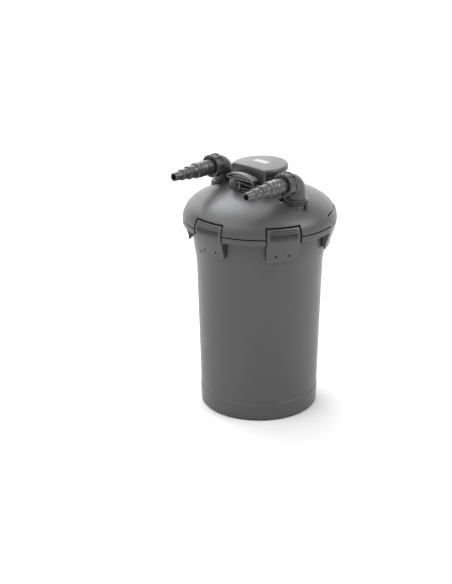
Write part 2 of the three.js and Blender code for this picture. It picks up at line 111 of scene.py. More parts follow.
def rounded(points, arc=4, closed=False):
    """Turns each corner given as (x, y, radius) into an arc of that many steps."""
    outline = []
    for i, point in enumerate(points):
        radius = point[2] if len(point) > 2 else 0
        if radius <= 0 or (not closed and i in (0, len(points) - 1)):
            outline.append(point[:2])
            continue
        corner = np.array(point[:2], float)
        back = np.array(points[i - 1][:2], float) - corner
        ahead = np.array(points[(i + 1) % len(points)][:2], float) - corner
        back_length, ahead_length = np.linalg.norm(back), np.linalg.norm(ahead)
        back, ahead = back / back_length, ahead / ahead_length
        half = acos(max(-1, min(1, float(back @ ahead)))) / 2
        if half > pi / 2 - 0.01:  # too straight for an arc; the point count stays when closed
            outline.extend([point[:2]] * (arc + 1 if closed else 1))
            continue
        cut = min(radius / tan(half), back_length * 0.48, ahead_length * 0.48)
        radius = cut * tan(half)
        bisector = (back + ahead) / np.linalg.norm(back + ahead)
        center = corner + bisector * radius / sin(half)
        start, end = corner + back * cut - center, corner + ahead * cut - center
        first = atan2(start[1], start[0])
        sweep = (atan2(end[1], end[0]) - first + pi) % (2 * pi) - pi
        outline += [polar(radius, first + sweep * k / arc, center) for k in range(arc + 1)]
    return outline


def rectangle(x0, x1, y0, y1, radius, arc):
    corners = [(x0, y0, radius), (x1, y0, radius), (x1, y1, radius), (x0, y1, radius)]
    return rounded(corners, arc, True)


# ------------------------------------------------------------------ shapes: (vertices, faces)
def grid(rows, wrap=False):
    """Quads between closed rows of points; end rows are capped unless the rows wrap round."""
    count, width = len(rows), len(rows[0])
    faces = []
    for i in range(count if wrap else count - 1):
        above = (i + 1) % count * width
        for j in range(width):
            k = (j + 1) % width
            faces.append((i * width + j, i * width + k, above + k, above + j))
    if not wrap:
        faces.append(tuple(range(width - 1, -1, -1)))
        faces.append(tuple((count - 1) * width + j for j in range(width)))
    return [point for row in rows for point in row], faces


def lathe(profile, segments=96, at=(0, 0)):
    """Closed (radius, z) profile turned round an upright axis."""
    angles = [2 * pi * i / segments for i in range(segments)]
    return grid([[(*polar(radius, a, at), z) for radius, z in profile] for a in angles], True)


def spun(points, arc, segments=96, at=(0, 0), closed=False):
    """Lathe of a profile with rounded corners."""
    return lathe(rounded(points, arc, closed), segments, at)


def cylinder(radius, z0, z1, segments, at=(0, 0)):
    return lathe([(0, z0), (radius, z0), (radius, z1), (0, z1)], segments, at)


def box(x0, x1, y0, y1, z0, z1):
    corners = ((x0, y0), (x1, y0), (x1, y1), (x0, y1))
    faces = [(3, 2, 1, 0), (4, 5, 6, 7), (0, 1, 5, 4), (1, 2, 6, 5), (2, 3, 7, 6), (3, 0, 4, 7)]
    return [(x, y, z) for z in (z0, z1) for x, y in corners], faces


def prism(outline, z0, z1):
    """X-Y outline extruded along Z."""
    return grid([[(x, y, z) for x, y in outline] for z in (z0, z1)])


def upright(outline, y0, y1):
    """X-Z outline extruded along Y."""
    return grid([[(x, y, z) for x, z in outline] for y in (y0, y1)])


def moved(shape, matrix):
    return [tuple(matrix @ Vector(point)) for point in shape[0]], shape[1]


def rotated(shape, angle):
    return moved(shape, Matrix.Rotation(angle * DEG, 4, "Z"))


def joined(*shapes):
    verts, faces = [], []
    for more_verts, more_faces in shapes:
        start = len(verts)
        verts.extend(more_verts)
        faces.extend(tuple(i + start for i in face) for face in more_faces)
    return verts, faces


def tube(path, radius, segments=48, tip=None):
    """A round bar along a path of points; tip is the radius at its end, if different."""
    points = [Vector(point) for point in path]
    radii = [radius] * (len(points) - 1) + [tip or radius]
    up, rows = None, []
    for i, (point, ring) in enumerate(zip(points, radii)):
        ahead = (points[min(i + 1, len(points) - 1)] - points[max(i - 1, 0)]).normalized()
        if up is None:
            up = ahead.orthogonal().normalized()
        up = (up - ahead * up.dot(ahead)).normalized()
        side = ahead.cross(up)
        angles = [2 * pi * k / segments for k in range(segments)]
        rows.append([tuple(point + (up * cos(a) + side * sin(a)) * ring) for a in angles])
    return grid(rows)


def rod_holes(clearance, z0, z1, segments):
    """Cuts for the two pull rods."""
    return [("-", cylinder(ROD_R + clearance, z0, z1, segments, (side * ROD_X, ROD_Y)))
            for side in SIDES.values()]


def ears(side, x=0, y=0):
    """Screw places round a port at x, y."""
    return [(x + side * EAR_R * cos(a * DEG), y + EAR_R * sin(a * DEG)) for a in EAR_ANGLES]


# ------------------------------------------------------------------ meshes
def smooth(mesh, sharp=30):
    mesh.polygons.foreach_set("use_smooth", [True] * len(mesh.polygons))
    mesh.set_sharp_from_angle(angle=sharp * DEG)
    mesh.update()
    return mesh


def mesh_of(shape, sharp=30):
    """Mesh in metres, with double points merged and normals outward."""
    mesh = bpy.data.meshes.new("shape")
    mesh.from_pydata([(x * MM, y * MM, z * MM) for x, y, z in shape[0]], [], shape[1])
    bm = bmesh.new()
    bm.from_mesh(mesh)
    bmesh.ops.remove_doubles(bm, verts=bm.verts, dist=2e-6)
    bmesh.ops.recalc_face_normals(bm, faces=bm.faces)
    bm.to_mesh(mesh)
    bm.free()
    return smooth(mesh, sharp)


def evaluated(target):
    """New mesh of an object with its modifiers applied."""
    bpy.context.view_layer.update()
    graph = bpy.context.evaluated_depsgraph_get()
    return bpy.data.meshes.new_from_object(target.evaluated_get(graph), depsgraph=graph)


def solve(base, *steps, sharp=30):
    """base, a shape or mesh, with each (sign, shape) applied: '-' cuts and '+' joins."""
    operations = {"-": "DIFFERENCE", "+": "UNION"}
    mesh = base if isinstance(base, bpy.types.Mesh) else mesh_of(base)
    for sign, shape in steps:
        target = bpy.data.objects.new("target", mesh)
        tool = bpy.data.objects.new("tool", mesh_of(shape))
        SCENE.collection.objects.link(target)
        SCENE.collection.objects.link(tool)
        boolean = target.modifiers.new("cut", "BOOLEAN")
        boolean.operation, boolean.object = operations[sign], tool
        boolean.solver = "MANIFOLD"
        result = evaluated(target)
        if len(result.polygons) in (0, len(mesh.polygons)):  # the fast solver did nothing
            boolean.solver = "EXACT"
            result = evaluated(target)
        bpy.data.objects.remove(target)
        bpy.data.objects.remove(tool)
        mesh = result
    bm = bmesh.new()
    bm.from_mesh(mesh)
    bmesh.ops.remove_doubles(bm, verts=bm.verts, dist=1e-6)
    bm.to_mesh(mesh)
    bm.free()
    return smooth(mesh, sharp)


def combined(first, second, sharp, second_slot=0):
    """Both meshes in one; the second may use another material slot."""
    mesh = bpy.data.meshes.new("combined")
    bm = bmesh.new()
    bm.from_mesh(first)
    count = len(bm.faces)
    bm.from_mesh(second)
    if second_slot:
        bm.faces.ensure_lookup_table()
        for face in bm.faces[count:]:
            face.material_index = second_slot
    bm.to_mesh(mesh)
    bm.free()
    return smooth(mesh, sharp)


def copy_of(mesh, matrix):
    copy = mesh.copy()
    copy.transform(matrix)
    return copy


def show(name, shape, node, slot, *materials, sharp=30):
    """Adds a piece that stands for the CAD node and rides on its body."""
    mesh = shape if isinstance(shape, bpy.types.Mesh) else mesh_of(shape, sharp)
    mesh.name = name
    mesh.materials.clear()
    for material in materials:
        mesh.materials.append(material)
    piece = bpy.data.objects.new(name, mesh)
    SCENE.collection.objects.link(piece)
    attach(piece, BODY_OF[node])
    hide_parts(node)
    return piece


# ------------------------------------------------------------------ shader nodes
def srgb(*levels):
    """Linear colour of red, green and blue levels from 0 to 255."""
    parts = [level / 255 for level in levels]
    return (*(c / 12.92 if c <= 0.04045 else ((c + 0.055) / 1.055) ** 2.4 for c in parts), 1.0)


def scaled(colour, factor):
    return tuple(c * factor for c in colour[:3]) + (1,)


class Nodes:
    """Fills a node tree, emptied first."""

    def __init__(self, tree):
        self.tree = tree
        tree.nodes.clear()

    def plug(self, socket, value):
        if isinstance(value, bpy.types.NodeSocket):
            self.tree.links.new(value, socket)
        else:
            socket.default_value = value

    def fill(self, node, **named):
        """Lower-case names are the node's properties, the others its sockets."""
        for name, value in named.items():
            if name.islower():
                setattr(node, name, value)
            else:
                self.plug(node.inputs[name.replace("_", " ")], value)

    def node(self, kind, *values, **named):
        """A new node; values go to its sockets in order, named ones as in fill."""
        node = self.tree.nodes.new("ShaderNode" + kind)
        self.fill(node, **named)
        for socket, value in zip(node.inputs, values):
            self.plug(socket, value)
        return node

    def math(self, operation, first, second, clamp=False):
        return self.node("Math", first, second, operation=operation, use_clamp=clamp).outputs[0]

    def dot(self, first, second):
        return self.node("VectorMath", first, second, operation="DOT_PRODUCT").outputs["Value"]

    def span(self, value, low, high, start=0.0, end=1.0, **properties):
        """Maps low..high to start..end."""
        limits = dict(From_Min=low, From_Max=high, To_Min=start, To_Max=end)
        return self.node("MapRange", Value=value, **limits, **properties).outputs[0]


class Material(Nodes):
    def __init__(self, name):
        self.material = bpy.data.materials.new(name)
        self.material.use_nodes = True
        super().__init__(self.material.node_tree)
        self.surface = self.node("BsdfPrincipled")
        self.node("OutputMaterial", self.surface.outputs[0])
        self.place = self.node("TexCoord").outputs["Object"]

    def noise(self, scale, detail=2.0, rough=0.5, place=None):
        named = dict(Vector=place or self.place, Scale=scale, Detail=detail, Roughness=rough)
        return self.node("TexNoise", **named).outputs[0]

    def stretched(self, *scale):
        return self.node("Mapping", Vector=self.place, Scale=scale).outputs[0]

    def swing(self, noise, amount):
        """Noise centred on zero and scaled."""
        return self.math("MULTIPLY", self.math("SUBTRACT", noise, 0.5), amount)

    def mix(self, factor, first, second, blend="MIX"):
        node = self.node("Mix", data_type="RGBA", blend_type=blend)
        for index, value in ((0, factor), (6, first), (7, second)):
            self.plug(node.inputs[index], value)
        return node.outputs[2]

    def shade(self, colour, red, green, blue):
        """Colour multiplied by a factor per channel."""
        factors = self.node("CombineColor", Red=red, Green=green, Blue=blue).outputs[0]
        return self.mix(1.0, colour, factors, "MULTIPLY")

    def bump(self, height, strength, distance, **normal):
        named = dict(Strength=strength, Distance=distance, Height=height, **normal)
        return self.node("Bump", **named).outputs[0]

    def finish(self, **values):
        self.fill(self.surface, **values)
        return self.material


# ------------------------------------------------------------------ materials
def label_masks(mat, x0, x1, y0, y1, z0):
    """Masks of a label lying above z0, whole and within its printed border."""
    border = 0.0016
    x, y, z = mat.node("SeparateXYZ", Vector=mat.place).outputs

    def within(value, low, high):
        above = mat.math("GREATER_THAN", value, low)
        return mat.math("MULTIPLY", above, mat.math("LESS_THAN", value, high))

    area = mat.math("MULTIPLY", within(x, x0, x1), within(y, y0, y1))
    mask = mat.math("MULTIPLY", area, mat.math("GREATER_THAN", z, z0))
    inner_x = within(x, x0 + border, x1 - border)
    return mask, mat.math("MULTIPLY", inner_x, within(y, y0 + border, y1 - border))


def plastic(name, rgb, rough, vary=0.09, edge=0.22, radius=0.0008, label=None, streaks=0.0,
            spec=0.5, crevice=0.007, hollow=0.0):
    """Moulded plastic: fine grain, slight colour drift, softened edges made paler by wear and by
    a painted highlight, and painted shade in nooks.

    vary, edge, streaks: strength of drift, of edge wear with a painted edge highlight, and of
    roughness streaks; radius: of edges;
    crevice: reach of the shade in corners; hollow: shade where that attribute marks a hollow;
    label: box of a paper label in millimetres (x0, x1, y0, y1, lowest z).
    """
    mat = Material(name)
    base = srgb(*rgb)
    drift = mat.noise(scale=7.0, detail=4.0, rough=0.6)
    speck = mat.noise(scale=900.0)
    shade = mat.math("ADD", mat.swing(drift, vary), mat.swing(speck, vary * 0.8))
    colour = mat.shade(base, *[mat.math("ADD", shade, 1.0) for _ in range(3)])
    # paler at the edges, where the softened normal leaves the true one: partly edge wear, partly
    # a painted highlight along the edges
    bevel = mat.node("Bevel", samples=4, Radius=radius).outputs[0]
    flat = mat.dot(bevel, mat.node("NewGeometry").outputs["Normal"])
    patches = mat.noise(scale=60.0, detail=3.0)
    patches = mat.span(patches, low=0.35, high=0.65, start=0.4, end=1.0)
    edge_wear_and_highlight = mat.math("MULTIPLY", mat.math("SUBTRACT", 1.0, flat), patches, clamp=True)
    worn_and_lit_tone = tuple(min(1.0, c * 1.9 + 0.02) for c in base[:3]) + (1,)
    colour = mat.mix(mat.math("MULTIPLY", edge_wear_and_highlight, edge * 4, clamp=True), colour, worn_and_lit_tone)
    # painted shade: darker in nooks and hollows, in the colour and in the specular
    open_air = mat.node("AmbientOcclusion", samples=6, Distance=crevice).outputs["AO"]
    painted_shade = mat.span(open_air, low=0.25, high=0.9, start=0.25, end=1.0)
    if hollow:
        mark = mat.node("Attribute", attribute_name="hollow").outputs["Fac"]
        kept = mat.math("SUBTRACT", 1.0, mat.math("MULTIPLY", mark, hollow))
        painted_shade = mat.math("MULTIPLY", painted_shade, kept)
    colour = mat.shade(colour, painted_shade, painted_shade, painted_shade)
    smudge = mat.noise(scale=22.0, detail=4.0, rough=0.65)
    roughness = mat.math("ADD", rough, mat.swing(smudge, amount=0.16))
    if streaks:
        streak = mat.noise(scale=1.0, detail=3.0, rough=0.6, place=mat.stretched(40, 40, 2.2))
        roughness = mat.math("ADD", roughness, mat.swing(streak, streaks))
    if label:
        mask, inner = label_masks(mat, *(limit * MM for limit in label))
        print_tone = mat.mix(mat.noise(scale=300.0), srgb(170, 171, 172), srgb(183, 183, 182))
        colour = mat.mix(mask, colour, mat.mix(inner, srgb(150, 151, 153), print_tone))
        roughness = mat.math("ADD", roughness, mat.math("MULTIPLY", mask, 0.12))
        spec = mat.math("MULTIPLY", mat.math("SUBTRACT", 1.0, mask), spec)
    grain = mat.noise(scale=2200, rough=0.6)
    normal = mat.bump(grain, strength=0.35, distance=0.02 * MM, Normal=bevel)
    normal = mat.bump(mat.noise(scale=45.0), strength=0.25, distance=0.00006, Normal=normal)
    return mat.finish(Base_Color=colour, Roughness=roughness, Normal=normal,
                      Specular_IOR_Level=mat.math("MULTIPLY", painted_shade, spec))


def metal(name, rgb, rough, grain=(900, 900, 12)):
    """Metal with a fine grain, in lines along Z unless grain is even, and a few dull marks."""
    mat = Material(name)
    lines = mat.noise(scale=1.0, detail=3.0, rough=0.7, place=mat.stretched(*grain))
    marks = mat.span(mat.noise(scale=120.0, detail=4.0, rough=0.7), low=0.4, high=0.75)
    return mat.finish(
        Base_Color=mat.mix(marks, srgb(*rgb), scaled(srgb(*rgb), 0.72)),
        Metallic=1.0,
        Roughness=mat.math("ADD", rough, mat.math("MULTIPLY", lines, 0.22)),
        Normal=mat.bump(lines, strength=0.3, distance=0.00002))


def rubber(name, rgb, rough=0.72):
    """Dull rubber with patches of dust."""
    mat = Material(name)
    grain = mat.noise(scale=420.0, detail=4.0, rough=0.65)
    dust = mat.span(mat.noise(scale=25.0, detail=5.0, rough=0.7), low=0.5, high=0.8)
    dusty = srgb(rgb[0] + 34, rgb[1] + 34, rgb[2] + 33)
    return mat.finish(
        Base_Color=mat.mix(mat.math("MULTIPLY", dust, 0.35), srgb(*rgb), dusty),
        Roughness=mat.math("ADD", rough, mat.math("MULTIPLY", grain, 0.18)),
        Normal=mat.bump(grain, strength=0.35, distance=0.00012),
        Specular_IOR_Level=0.35)


def foam(name, light, dark, cell):
    """Open-cell filter foam, darker inside its cells; cell is their number per metre."""
    mat = Material(name)
    warp = mat.node("TexNoise", Vector=mat.place, Scale=cell * 0.6, Detail=2.0).outputs["Color"]
    place = mat.node("VectorMath", warp, (0.8 / cell,) * 3, mat.place, operation="MULTIPLY_ADD")
    cells = mat.node("TexVoronoi", Vector=place.outputs[0], Scale=cell, Randomness=1.0)
    rim = mat.span(cells.outputs["Distance"], low=0.12, high=0.55)
    colour = mat.mix(rim, srgb(*dark), srgb(*light))
    stain = mat.span(mat.noise(scale=14.0, detail=4.0, rough=0.6), low=0.35, high=0.7)
    stained = scaled(srgb(*light), 0.55)
    return mat.finish(
        Base_Color=mat.mix(mat.math("MULTIPLY", stain, 0.4), colour, stained),
        Roughness=mat.math("ADD", 0.85, mat.math("MULTIPLY", rim, 0.1)),
        Normal=mat.bump(rim, strength=0.9, distance=0.0012),
        Specular_IOR_Level=0.2,
        Sheen_Weight=0.15)


def glass(name, tint, rough, ior=1.46):
    mat = Material(name)
    haze = mat.noise(scale=35.0, detail=4.0, rough=0.6)
    deeper = srgb(tint[0] - 10, tint[1] - 5, tint[2] - 3)
    return mat.finish(
        Base_Color=mat.mix(mat.span(haze, low=0.4, high=0.7), srgb(*tint), deeper),
        Roughness=mat.math("ADD", rough, mat.math("MULTIPLY", haze, 0.05)),
        Normal=mat.bump(haze, strength=0.15, distance=0.0001),
        Transmission_Weight=1.0,
        IOR=ior)


def ceramic(name, rgb):
    mat = Material(name)
    grain = mat.noise(scale=140.0, detail=5.0, rough=0.65)
    tone = mat.span(grain, low=0.3, high=0.7)
    return mat.finish(
        Base_Color=mat.mix(tone, srgb(*rgb), scaled(srgb(*rgb), 0.82)),
        Roughness=mat.math("ADD", 0.3, mat.math("MULTIPLY", grain, 0.25)),
        Normal=mat.bump(grain, strength=0.3, distance=0.0001))


def board(name):
    """Green circuit board with copper tracks."""
    mat = Material(name)
    tracks = mat.node("TexBrick", Vector=mat.stretched(170, 170, 170), Color1=srgb(38, 92, 58),
                      Color2=srgb(30, 78, 48), Mortar=srgb(176, 138, 84), Mortar_Size=0.035)
    stain = mat.noise(scale=200.0, detail=3.0)
    tone = mat.span(stain, low=0.4, high=0.8)
    return mat.finish(
        Base_Color=mat.mix(tone, tracks.outputs["Color"], srgb(28, 70, 44)),
        Roughness=mat.math("ADD", 0.35, mat.math("MULTIPLY", stain, 0.2)),
        Normal=mat.bump(tracks.outputs["Fac"], strength=0.4, distance=0.0002))


def paper(name):
    mat = Material(name)
    grain = mat.noise(scale=60.0, detail=3.0)
    return mat.finish(Base_Color=mat.mix(grain, srgb(215, 215, 215), srgb(219, 219, 219)),
                      Roughness=0.9, Specular_IOR_Level=0.1)


# edge sets edge wear with a painted highlight; crevice and hollow set the reach and depth of
# painted shade
SHELL = plastic("shell_plastic", (65, 65, 66), rough=0.36, streaks=0.10)
LATCH = plastic("latch_plastic", (66, 66, 67), rough=0.31, radius=0.0010, edge=0.3,
                crevice=0.012, hollow=0.42)
FITTING = plastic("fitting_plastic", (57, 57, 58), rough=0.32)
CAP = plastic("cap_plastic", (59, 59, 60), rough=0.30, label=(-25, 20, -3, 17, 619),
              radius=0.0016, edge=0.32)
DARK = plastic("dark_plastic", (54, 54, 55), rough=0.28, crevice=0.010)
TAIL = plastic("tail_plastic", (56, 56, 57), rough=0.25, spec=0.75, vary=0.05, radius=0.0007,
               edge=0.35, crevice=0.006)
# a paler copy of the fitting plastic for the grip; the extra paleness is a painted highlight
# standing in for the light on its top
GRIP_LIGHTENED = plastic("grip_plastic_lightened", (74, 74, 75), rough=0.26, spec=0.9, edge=0.3)
NUT = plastic("nut_plastic", (61, 61, 62), rough=0.24, radius=0.0010, edge=0.5, crevice=0.007)
# dark plastic of the filter insert, also used on the latches as painted shade
INNER_AND_SHADE = plastic("inner_plastic_and_shade", (38, 39, 41), rough=0.45, edge=0.12)
RUBBER = rubber("seal_rubber", (20, 20, 21))
CABLE = rubber("cable_rubber", (26, 26, 27), rough=0.55)
STEEL = metal("stainless", (132, 134, 136), rough=0.34)
SCREW = metal("screw_steel", (92, 93, 95), rough=0.45, grain=(300, 300, 300))
QUARTZ = glass("quartz", (240, 246, 250), rough=0.02)
LAMP = glass("lamp_glass", (236, 238, 246), rough=0.12, ior=1.5)
CERAMIC = ceramic("lamp_ceramic", (226, 222, 212))
COPPER = metal("copper_wire", (196, 120, 80), rough=0.3, grain=(300, 300, 300))
BOARD = board("circuit_board")
FOAM_BLUE = foam("foam_coarse", light=(62, 98, 134), dark=(14, 24, 36), cell=260.0)
FOAM_GREY = foam("foam_fine", light=(70, 71, 74), dark=(14, 14, 15), cell=420.0)


# ------------------------------------------------------------------ canister
CANISTER_WALL = [(156.0, 372), (157.2, 385), (158.8, 397), (160.8, 409), (162.7, 421),
                 (164.0, 433), (164.5, 446), (164.5, 455)]  # radius, z of the flaring outside
CANISTER = [  # radius, z, corner radius; up the outside and down the inside
    (0, 0), (143.2, 0, 2.4), (146.8, 3.6, 2.4), (148.2, 45.6, 0.9), (147.0, 47.4, 0.7),
    *spline(CANISTER_WALL, 3),
    (164.5, 474.4, 1.6), (188.6, 474.8, 1.3), (RIM_R, 477, 1.6), (RIM_R, 488.6, 1.9),
    (159.5, SEAM_Z, 0.8), (159.5, 418, 6), (152.6, 397, 8), (141.4, 8, 4), (138, 5, 2), (0, 5),
]
COLUMN_GAP = 0.08  # degrees between the two columns at a pocket's side


def in_pocket(angle):
    return min(abs((angle - a + 180) % 360 - 180) for a in LATCH_ANGLES) < NOTCH_HALF


def pocket_columns(step):
    """Angles all the way round, with a close pair at each side of every latch pocket."""
    outer = NOTCH_HALF + COLUMN_GAP / 2
    offsets = [NOTCH_HALF - COLUMN_GAP / 2, outer]
    offsets += [outer + step * k for k in range(1, 30) if outer + step * k <= 30]
    offsets += [step * k for k in range(30) if step * k < NOTCH_HALF - 0.3]
    return sorted({round((a + side * offset + 360) % 360, 3)
                   for a in LATCH_ANGLES for offset in offsets for side in (-1, 1)})


def canister():
    profile = rounded(CANISTER, 5)
    rows = []
    for angle in pocket_columns(2.0):
        limit = NOTCH_R if in_pocket(angle) else RIM_R
        rows.append([(*polar(min(radius, limit), angle * DEG), z) for radius, z in profile])
    # a hinge lug under the flange for each latch
    nose = [polar(3.2, a * DEG, (PIN_R, PIN_Z)) for a in range(-135, 91, 15)]
    lug = upright([(162, PIN_Z + 1), *nose, (162, PIN_Z + 12)], -7.5, 7.5)
    return joined(grid(rows, True), *[rotated(lug, a) for a in LATCH_ANGLES])


show("container_shell", canister(), "container", "shell_plastic", SHELL, sharp=38)

# ------------------------------------------------------------------ latches, built facing +X
LATCH_HALF = 12.8  # half width in degrees
LATCH_EDGE = 1.5  # rounding of the side edges
LUG_HALF = 8.1  # half width of the room for the lug
HOLE_Y, HOLE_Z = 16.9, 443.2  # screw holes
LATCH_OUTER = spline([  # radius, z down the outside
    (182.2, 513.1), (184.7, 509.0), (186.9, 504.0), (188.4, 499.0), (189.0, 493.0),
    (189.0, 484.0), (186.9, 472.0), (184.2, 462.5), (181.0, 453.0), (178.4, 446.0),
    (176.2, 439.0), (174.4, 433.0)], 12)[:-1]
LATCH_INNER = spline([  # radius, z up the inside
    (171.6, 436.0), (173.4, 443.0), (177.6, 454.5), (180.4, 462.0), (183.2, 471.0),
    (183.9, 476.0), (183.9, 498.0), (183.0, 500.8), (179.0, 506.6), (174.0, 512.4)], 5)[:-1]
LATCH_TOP = [(173.4, 513.0), (174.4, 513.4), (177.5, 513.5), (180.6, 513.5)]  # radius, z
LATCH_RIB = [  # x, z, corner radius
    (169.8, 432.5), (171.8, 436), (173.8, 443), (178.0, 454.5), (183.5, 471), (183.6, 472),
    (166.1, 472, 2), (166.1, 436, 3)]
PIN_AXIS = Matrix.Translation((PIN_R, 0, PIN_Z)) @ Matrix.Rotation(90 * DEG, 4, "X")


def grip_grooves(z):
    """Depth, 0 to 1, of the two grip grooves near the top."""
    return sum(exp(-(((z - middle) / 1.1) ** 2)) for middle in (508.4, 503.8))


def latch_row(offset):
    """Section of the plate at an angle from its middle."""
    angle = offset * DEG
    edge = (LATCH_HALF - abs(offset)) * DEG * 185
    beyond = LATCH_EDGE - min(edge, LATCH_EDGE)
    ease = LATCH_EDGE - sqrt(max(0.0, LATCH_EDGE * LATCH_EDGE - beyond**2))
    barrel = min(4.6, max(2.4, 174.4 * cos(angle) - PIN_R))
    across = soft((11.0 - abs(offset)) / 1.1)
    row = []
    for radius, z in LATCH_OUTER:
        radius -= 1.7 * across * grip_grooves(z)
        # a finger scoop below the grooves
        radius -= 3.6 * across * soft((z - 483.5) / 12) * soft((500.8 - z) / 1.8)
        radius -= ease
        x, y = polar(radius, angle)
        if z < 448:  # the curved plate flows into the straight hinge barrel
            barrel_x = PIN_R + barrel + 0.3 - 0.11 * (z - PIN_Z) - 0.5 * ease
            blend = 1.6
            share = max(0.0, min(1.0, 0.5 + 0.5 * (barrel_x - x) / blend))
            x = x * (1 - share) + barrel_x * share + blend * share * (1 - share)
        row.append((x, y, z - (0.35 * ease if z > 510 else 0)))
    for k in range(1, 13):  # round the barrel
        turn = (30 - 250 * k / 12) * DEG
        x, z = polar(barrel - 0.3 * ease, turn, (PIN_R, PIN_Z))
        row.append((x, 174.2 * sin(angle), z))
    row += [(*polar(radius, angle), z) for radius, z in LATCH_INNER]
    return row + [(*polar(radius, angle), z - 0.3 * ease) for radius, z in LATCH_TOP]


def latch_cuts_and_ribs():
    # room for the lug behind the middle of the plate, and the pin
    steps = [("-", box(150, 173.1, -LUG_HALF, LUG_HALF, 415, PIN_Z + 5.6)),
             ("-", box(150, 200, -LUG_HALF, LUG_HALF, 415, 427.4)),
             ("-", moved(cylinder(1.7, -50, 50, 24), PIN_AXIS))]
    for y in (-HOLE_Y, HOLE_Y):
        along_x = Matrix.Translation((0, y, HOLE_Z)) @ Matrix.Rotation(90 * DEG, 4, "Y")
        steps.append(("-", moved(cylinder(2.8, 172.9, 190, 32), along_x)))
    rib = rounded(LATCH_RIB, 3)
    for angle, y0, y1 in ((-12, -3.2, 1.1), (12, -1.1, 3.2)):
        steps.append(("+", rotated(upright(rib, y0, y1), angle)))
    return steps


def in_painted_shade(face):
    """Ribs' flanks, lower side edges and screw holes take the dark inner plastic as painted
    shade.
    """
    x, y, z = face.center / MM
    angle = atan2(y, x)
    sideways = abs(-face.normal.x * sin(angle) + face.normal.y * cos(angle)) > 0.86
    top = 474 if abs(angle) > 12.6 * DEG else 600
    flank = sideways and abs(angle) > 9 * DEG and z < top
    side = abs(angle) > (LATCH_HALF + 0.04) * DEG and z < 474
    near_hole = hypot(abs(y) - HOLE_Y, z - HOLE_Z) < 2.9
    return flank or side or (near_hole and (face.normal.x < 0.6 or x < 173.4))


def hollowness(point):
    """How deep a point lies in the scoop or a groove; painted shade darkens the plastic there.
    """
    x, y, z = point / MM
    if hypot(x, y) <= 183.95 and z <= 501:
        return 0.0
    across = soft((11.0 - abs(degrees(atan2(y, x)))) / 1.1)
    scoop = soft((z - 480.0) / 13) * soft((501.4 - z) / 1.8)
    return across * min(1.0, grip_grooves(z) + scoop)


def latch_mesh():
    offsets = [-LATCH_HALF + 0.12 * k for k in range(12)]
    offsets += [-LATCH_HALF + 1.4 + 0.55 * k for k in range(22)] + [0.0]
    offsets = {round(offset, 3) for offset in offsets if offset <= 0}
    rows = [latch_row(offset) for offset in sorted(offsets | {-offset for offset in offsets})]
    mesh = solve(grid(rows), *latch_cuts_and_ribs(), sharp=34)
    for face in mesh.polygons:
        face.material_index = 1 if in_painted_shade(face) else 0
    # painted shade for the scoop and grooves, stored per point for the latch material
    mark = mesh.attributes.new("hollow", "FLOAT", "POINT")
    for vertex in mesh.vertices:
        mark.data[vertex.index].value = hollowness(vertex.co)
    return mesh


LATCH_BASE = latch_mesh()
PIN = spun([(0, -38), (1.4, -38, 0.4), (1.4, 38, 0.4), (0, 38)], 3, 32)
for i, angle in enumerate(LATCH_ANGLES, 1):
    plate = copy_of(LATCH_BASE, Matrix.Rotation(angle * DEG, 4, "Z"))
    # the second material, the dark inner plastic, is painted shade on rib flanks, lower side
    # edges and screw holes
    show(f"latch_plate_{i}", plate, f"latch_{i}", "shell_plastic", LATCH, INNER_AND_SHADE)
    pin = rotated(moved(PIN, PIN_AXIS), angle)
    show(f"latch_pin_rod_{i}", pin, f"latch_pin_{i}", "stainless", STEEL)

# ------------------------------------------------------------------ lid
DOME = [  # radius, z of the outside from the rim up
    (189.9, 490.6), (189.6, 495), (188.9, 499.6), (187.7, 504.2), (186, 508.8), (183.6, 513.4),
    (180.6, 518), (176.7, 522.6), (171.9, 527.3), (166.2, 531.9), (159.4, 536.5),
    (151.4, 541.1), (142, 545.7), (131.2, 550.3), (118.7, 555), (104.2, 559.6), (87.2, 564.2),
    (67, 568.8), (41.8, 573.4), (14, 577.2), (0, 577.7)]
DOME_CURVE = spline(DOME, 4, True)
DOME_RADII, DOME_HEIGHTS = zip(*DOME_CURVE)
SIDE_HEIGHTS = (519.5, 518.4, 517.2, 516.2, 514.6, 512.6, 510.0, 507.0, 504.0, 501.0, 498.0,
                495.0, 493.0, 491.8)


def dome_r(z):
    return float(np.interp(z, DOME_HEIGHTS, DOME_RADII))


def dome_z(radius):
    return float(np.interp(radius, DOME_RADII[::-1], DOME_HEIGHTS[::-1]))


# Lid profiles are radius, z, and in LID_INNER the corner radius.
LID_SIDE = [(dome_r(z), z) for z in SIDE_HEIGHTS] + [(189.2, 491.1), (187.6, 490.0)]
LID_POCKET = [  # the side at a latch pocket, with as many points as LID_SIDE
    (dome_r(519.5), 519.5), (180.0, 518.3), (180.1, 517.2), (179.4, 516.4), (178.2, 516.2),
    (171.8, 516.2), (171.2, 515.7), (171.2, 514.7), (175.0, 510.2), (179.3, 505.1),
    (183.0, 500.7), (NOTCH_R, 499.4), (NOTCH_R, 495), (NOTCH_R, 491), (183.2, 490.1),
    (182.6, LID_Z)]
LID_INNER = [  # underside and inside, up to the axis
    (170, LID_Z), (156.5, LID_Z, 0.8), (156.5, 480.4, 0.4), (153.4, 480.4, 0.8),
    (153.4, 473.6, 0.8), (156.5, 473.6, 0.5), (156.5, 466, 1.5), (151.5, 466, 1.5),
    (151.5, 500, 5), (163, 509, 6), (163, 521, 8), (136, 539.5, 12), (100, 552.6, 30),
    (50, 565, 30), (0, 571)]


